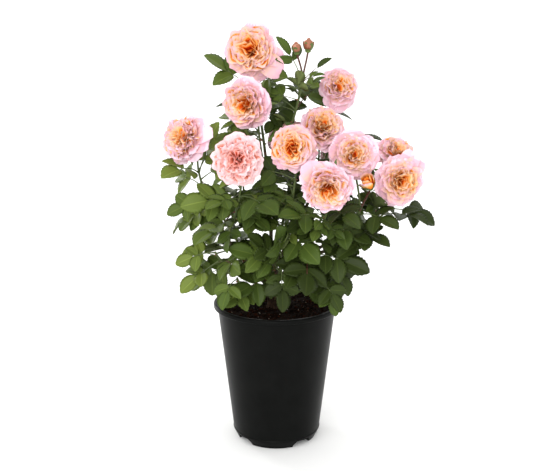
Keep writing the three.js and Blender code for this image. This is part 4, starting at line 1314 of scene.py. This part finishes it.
def fold_points(flower, out, angle, seed):
    """One of the small upright petals of the heart, frilled across its width and flared at its edge."""
    u, v = folded_petal.points[:, 0], folded_petal.points[:, 1]
    wide, bow, skew = (0.50, 0.08, 1.45) if flower.is_quartered else (0.92, 0.30, 0.5)
    share = out / FOLD_REACH
    width = mix(0.40, wide, share) * (1 + 0.2 * sway(seed, 1, 52))
    top = 0.40 - 0.12 * max(0, 1 - out / 0.3) ** 2 - 0.10 * share**3 + 0.05 * sway(seed, 2, 52)
    waves = 3 + 4 * chance(seed, 3, 52)
    frill = (0.025 + 0.055 * u**1.5) * np.sin(v * waves * 1.43 + 6.28 * chance(seed, 4, 52))
    frill = frill + 0.2 * u**3 * (0.3 + out) - bow * width * (2 * v) ** 2
    axial = mix(-0.16, top, u) - 0.05 * (2 * v) ** 2 * u
    axial = axial + 0.02 * np.sin(v * 23 + 6.28 * chance(seed, 5, 52)) * u**3
    yaw = sway(seed, 6, 52)
    if flower.is_quartered:
        yaw = math.copysign(0.6 + 0.4 * chance(seed, 7, 52), yaw)
    yaw *= mix(1.5, skew, share)
    aside = v * width * math.cos(yaw) - frill * math.sin(yaw)
    radial = out * (0.72 + 0.34 * u) + v * width * math.sin(yaw) + frill * math.cos(yaw)
    return round_axis(flower, angle, radial, aside, axial)


def shades(flower, rows, heart, tip, start, seed):
    """A petal's slots by row: from its base's paleness to its edge's, begun at a share of its length."""
    if flower.tint == "dusky":
        dusk = np.clip(1.5 * rows + 0.5 * sway(seed, 9, 51), 0, DUSKY_COUNT - 1)
        return WARM_COUNT + PINK_COUNT + np.round(dusk)
    ease = np.clip((rows - start) / (0.95 - start), 0, 1)
    pale = mix(heart, tip, ease**1.3) + 0.09 * sway(seed, 4, 51)
    pale = np.clip(pale + 0.34 * (0.75 - flower.warmth) * (1 - 0.6 * pale), 0, 1)
    if flower.tint == "pink":
        return WARM_COUNT + np.round(np.clip(pale - 0.12, 0, 1) * (PINK_COUNT - 1))
    return np.round(pale * (WARM_COUNT - 1))


def lay_open_petal(into, flower, angle, ring, seed, lift_by, longer=1, wider=1, start=0.5):
    """Lays down one open petal, whose edge begins to pale at a share of its length."""
    points = petal_points(flower, broad_petal, angle, ring, seed, lift_by, longer, wider)
    into.lay(broad_petal, points, shades(flower, broad_petal.rows, ring[-2], ring[-1], start, seed))


def lay_heart(into, flower, name, seeds):
    """A bloom's heart: a disc low in it, and folded petals that stand round its axis like seeds in a head."""
    is_pink = flower.tint == "pink"
    disc = pebble.points * HEART_DISC - (0, 0, HEART_DEPTH)
    into.lay(pebble, on_axis(flower, disc), PINK_HEART if is_pink else WARM_HEART)
    reach = CUPPED.get(name, FOLD_REACH)
    count = int(FOLDS * (MORE_QUARTERED if flower.is_quartered else (reach / FOLD_REACH) ** 1.5))
    for k in range(count):
        out = reach * math.sqrt((k + 0.4) / count)
        pale = out / FOLD_REACH
        # Partly the rose's own colour and partly painted shade and highlight: each fold is deep orange low
        # down, where it stands in shade between the others, and pale only near its edge, where the light
        # catches it.
        heart = 0.04 + 0.14 * pale**1.5 + (0.6 * max(0, 1 - 2.6 * pale) if is_pink else 0)
        tints = shades(flower, folded_petal.rows, heart, max(heart, 0.44 + 0.56 * pale**1.2), 0.62, seeds + k)
        into.lay(folded_petal, fold_points(flower, out, GOLDEN_TURN * k, seeds + k), tints)


blooms = {"left": Gathered(), "right": Gathered(), "back": Gathered()}
calyces = Gathered()
for stem in stems.values():
    for number, flower in enumerate(stem.flowers):
        urn, sepal_ring, rings = hip, SEPAL_RING, OPEN_RINGS + (CUP_RINGS if stem.name in CUPPED else [])
        tilt, growth = 16, 0.07
        if flower.is_bud:
            urn, sepal_ring, rings = bud_hip, BUD_SEPAL_RING, BUD_RINGS
            tilt, growth = 3, 0.02
        if flower.is_bud and flower.warmth > 0.5:
            sepal_ring, rings = OPENING_SEPAL_RING, OPENING_RINGS
            flower.face = unit(np.array(OPENING_FACE))
            flower.centre = flower.foot + flower.radius * flower.face
        flower.across = unit(np.cross(UP, flower.face))
        flower.upward = np.cross(flower.face, flower.across)
        flower.radius *= FULLNESS.get(stem.name, 1)
        flower.is_quartered = stem.name in QUARTERED
        flower.tint = "dusky" if flower.warmth < 0.1 else "pink" if flower.warmth < 0.2 else "warm"
        into = blooms["back" if flower.face[1] > 0 else "left" if flower.centre[0] < RIGHT_FROM else "right"]
        first = 5000 + 400 * (10 * stem.number + number)
        for r, ring in enumerate(rings):
            for p in range(ring[0]):
                seed = first + 20 * r + p
                place = p + 0.5 * (r % 2) + 0.36 * sway(seed, 5, 51)
                angle = 2 * math.pi * place / ring[0] + 0.7 * r + first
                longer = 1 + growth * sway(seed, 7, 51)
                wider = 1 + 0.12 * sway(seed, 8, 51)
                lay_open_petal(into, flower, angle, ring, seed, tilt * sway(seed, 6, 51), longer, wider)
        if not flower.is_bud:
            lay_heart(into, flower, stem.name, first + 200)
        if number == 0:
            for k, (angle, reach, lift_by, width) in enumerate(FLARES.get(stem.name, [])):
                ring = (1, 0.08, -0.47, reach, width, (50, 14, -26), 0.06, 0.7, 1.0)
                lay_open_petal(into, flower, math.radians(angle), ring, first + 300 + k, lift_by, start=0.4)
        calyces.lay(urn, on_axis(flower, urn.points), 0)
        for p in range(sepal_ring[0]):
            seed = first + 380 + p
            angle = 2 * math.pi * (p + 0.2 * sway(seed, 5, 51)) / sepal_ring[0]
            calyces.lay(sepal, petal_points(flower, sepal, angle, sepal_ring, seed, 8 * sway(seed, 6, 51)), 1)

# Rose petals are soft and matt like velvet, with very little gloss. Their colour runs from orange deep in the
# heart through apricot to pale pink at the rim. The deep, saturated orange low in the petals and folds is
# partly the rose's own colour and partly painted shade, standing for light that glows through the petals in
# the shaded depths. A bud's petals are dusky outside.
petal_look = {"Roughness": 0.7, "IOR": 1.33, "Specular_IOR_Level": 0.1}
petal_finishes = []
for name, tints in PETALS.items():
    petal_finishes += [finish(f"{name}_{k}", tint, **petal_look) for k, tint in enumerate(tints)]
for side, gathered in blooms.items():
    piece = gathered.piece(f"blooms_{side}")
    put_on(piece, *petal_finishes)
    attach(piece, "root")
    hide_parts(*all_shoots)

# A rose's hip is smooth and satin while green, and its sepals are downy and dull.
calyces = calyces.piece("calyces")
hip_skin = finish("green_rose_hip", "#5E7434", Roughness=0.5)
downy = finish("downy_sepal", "#5A6B36", Roughness=0.7)
put_on(calyces, hip_skin, downy)
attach(calyces, "root")
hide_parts(*all_shoots)
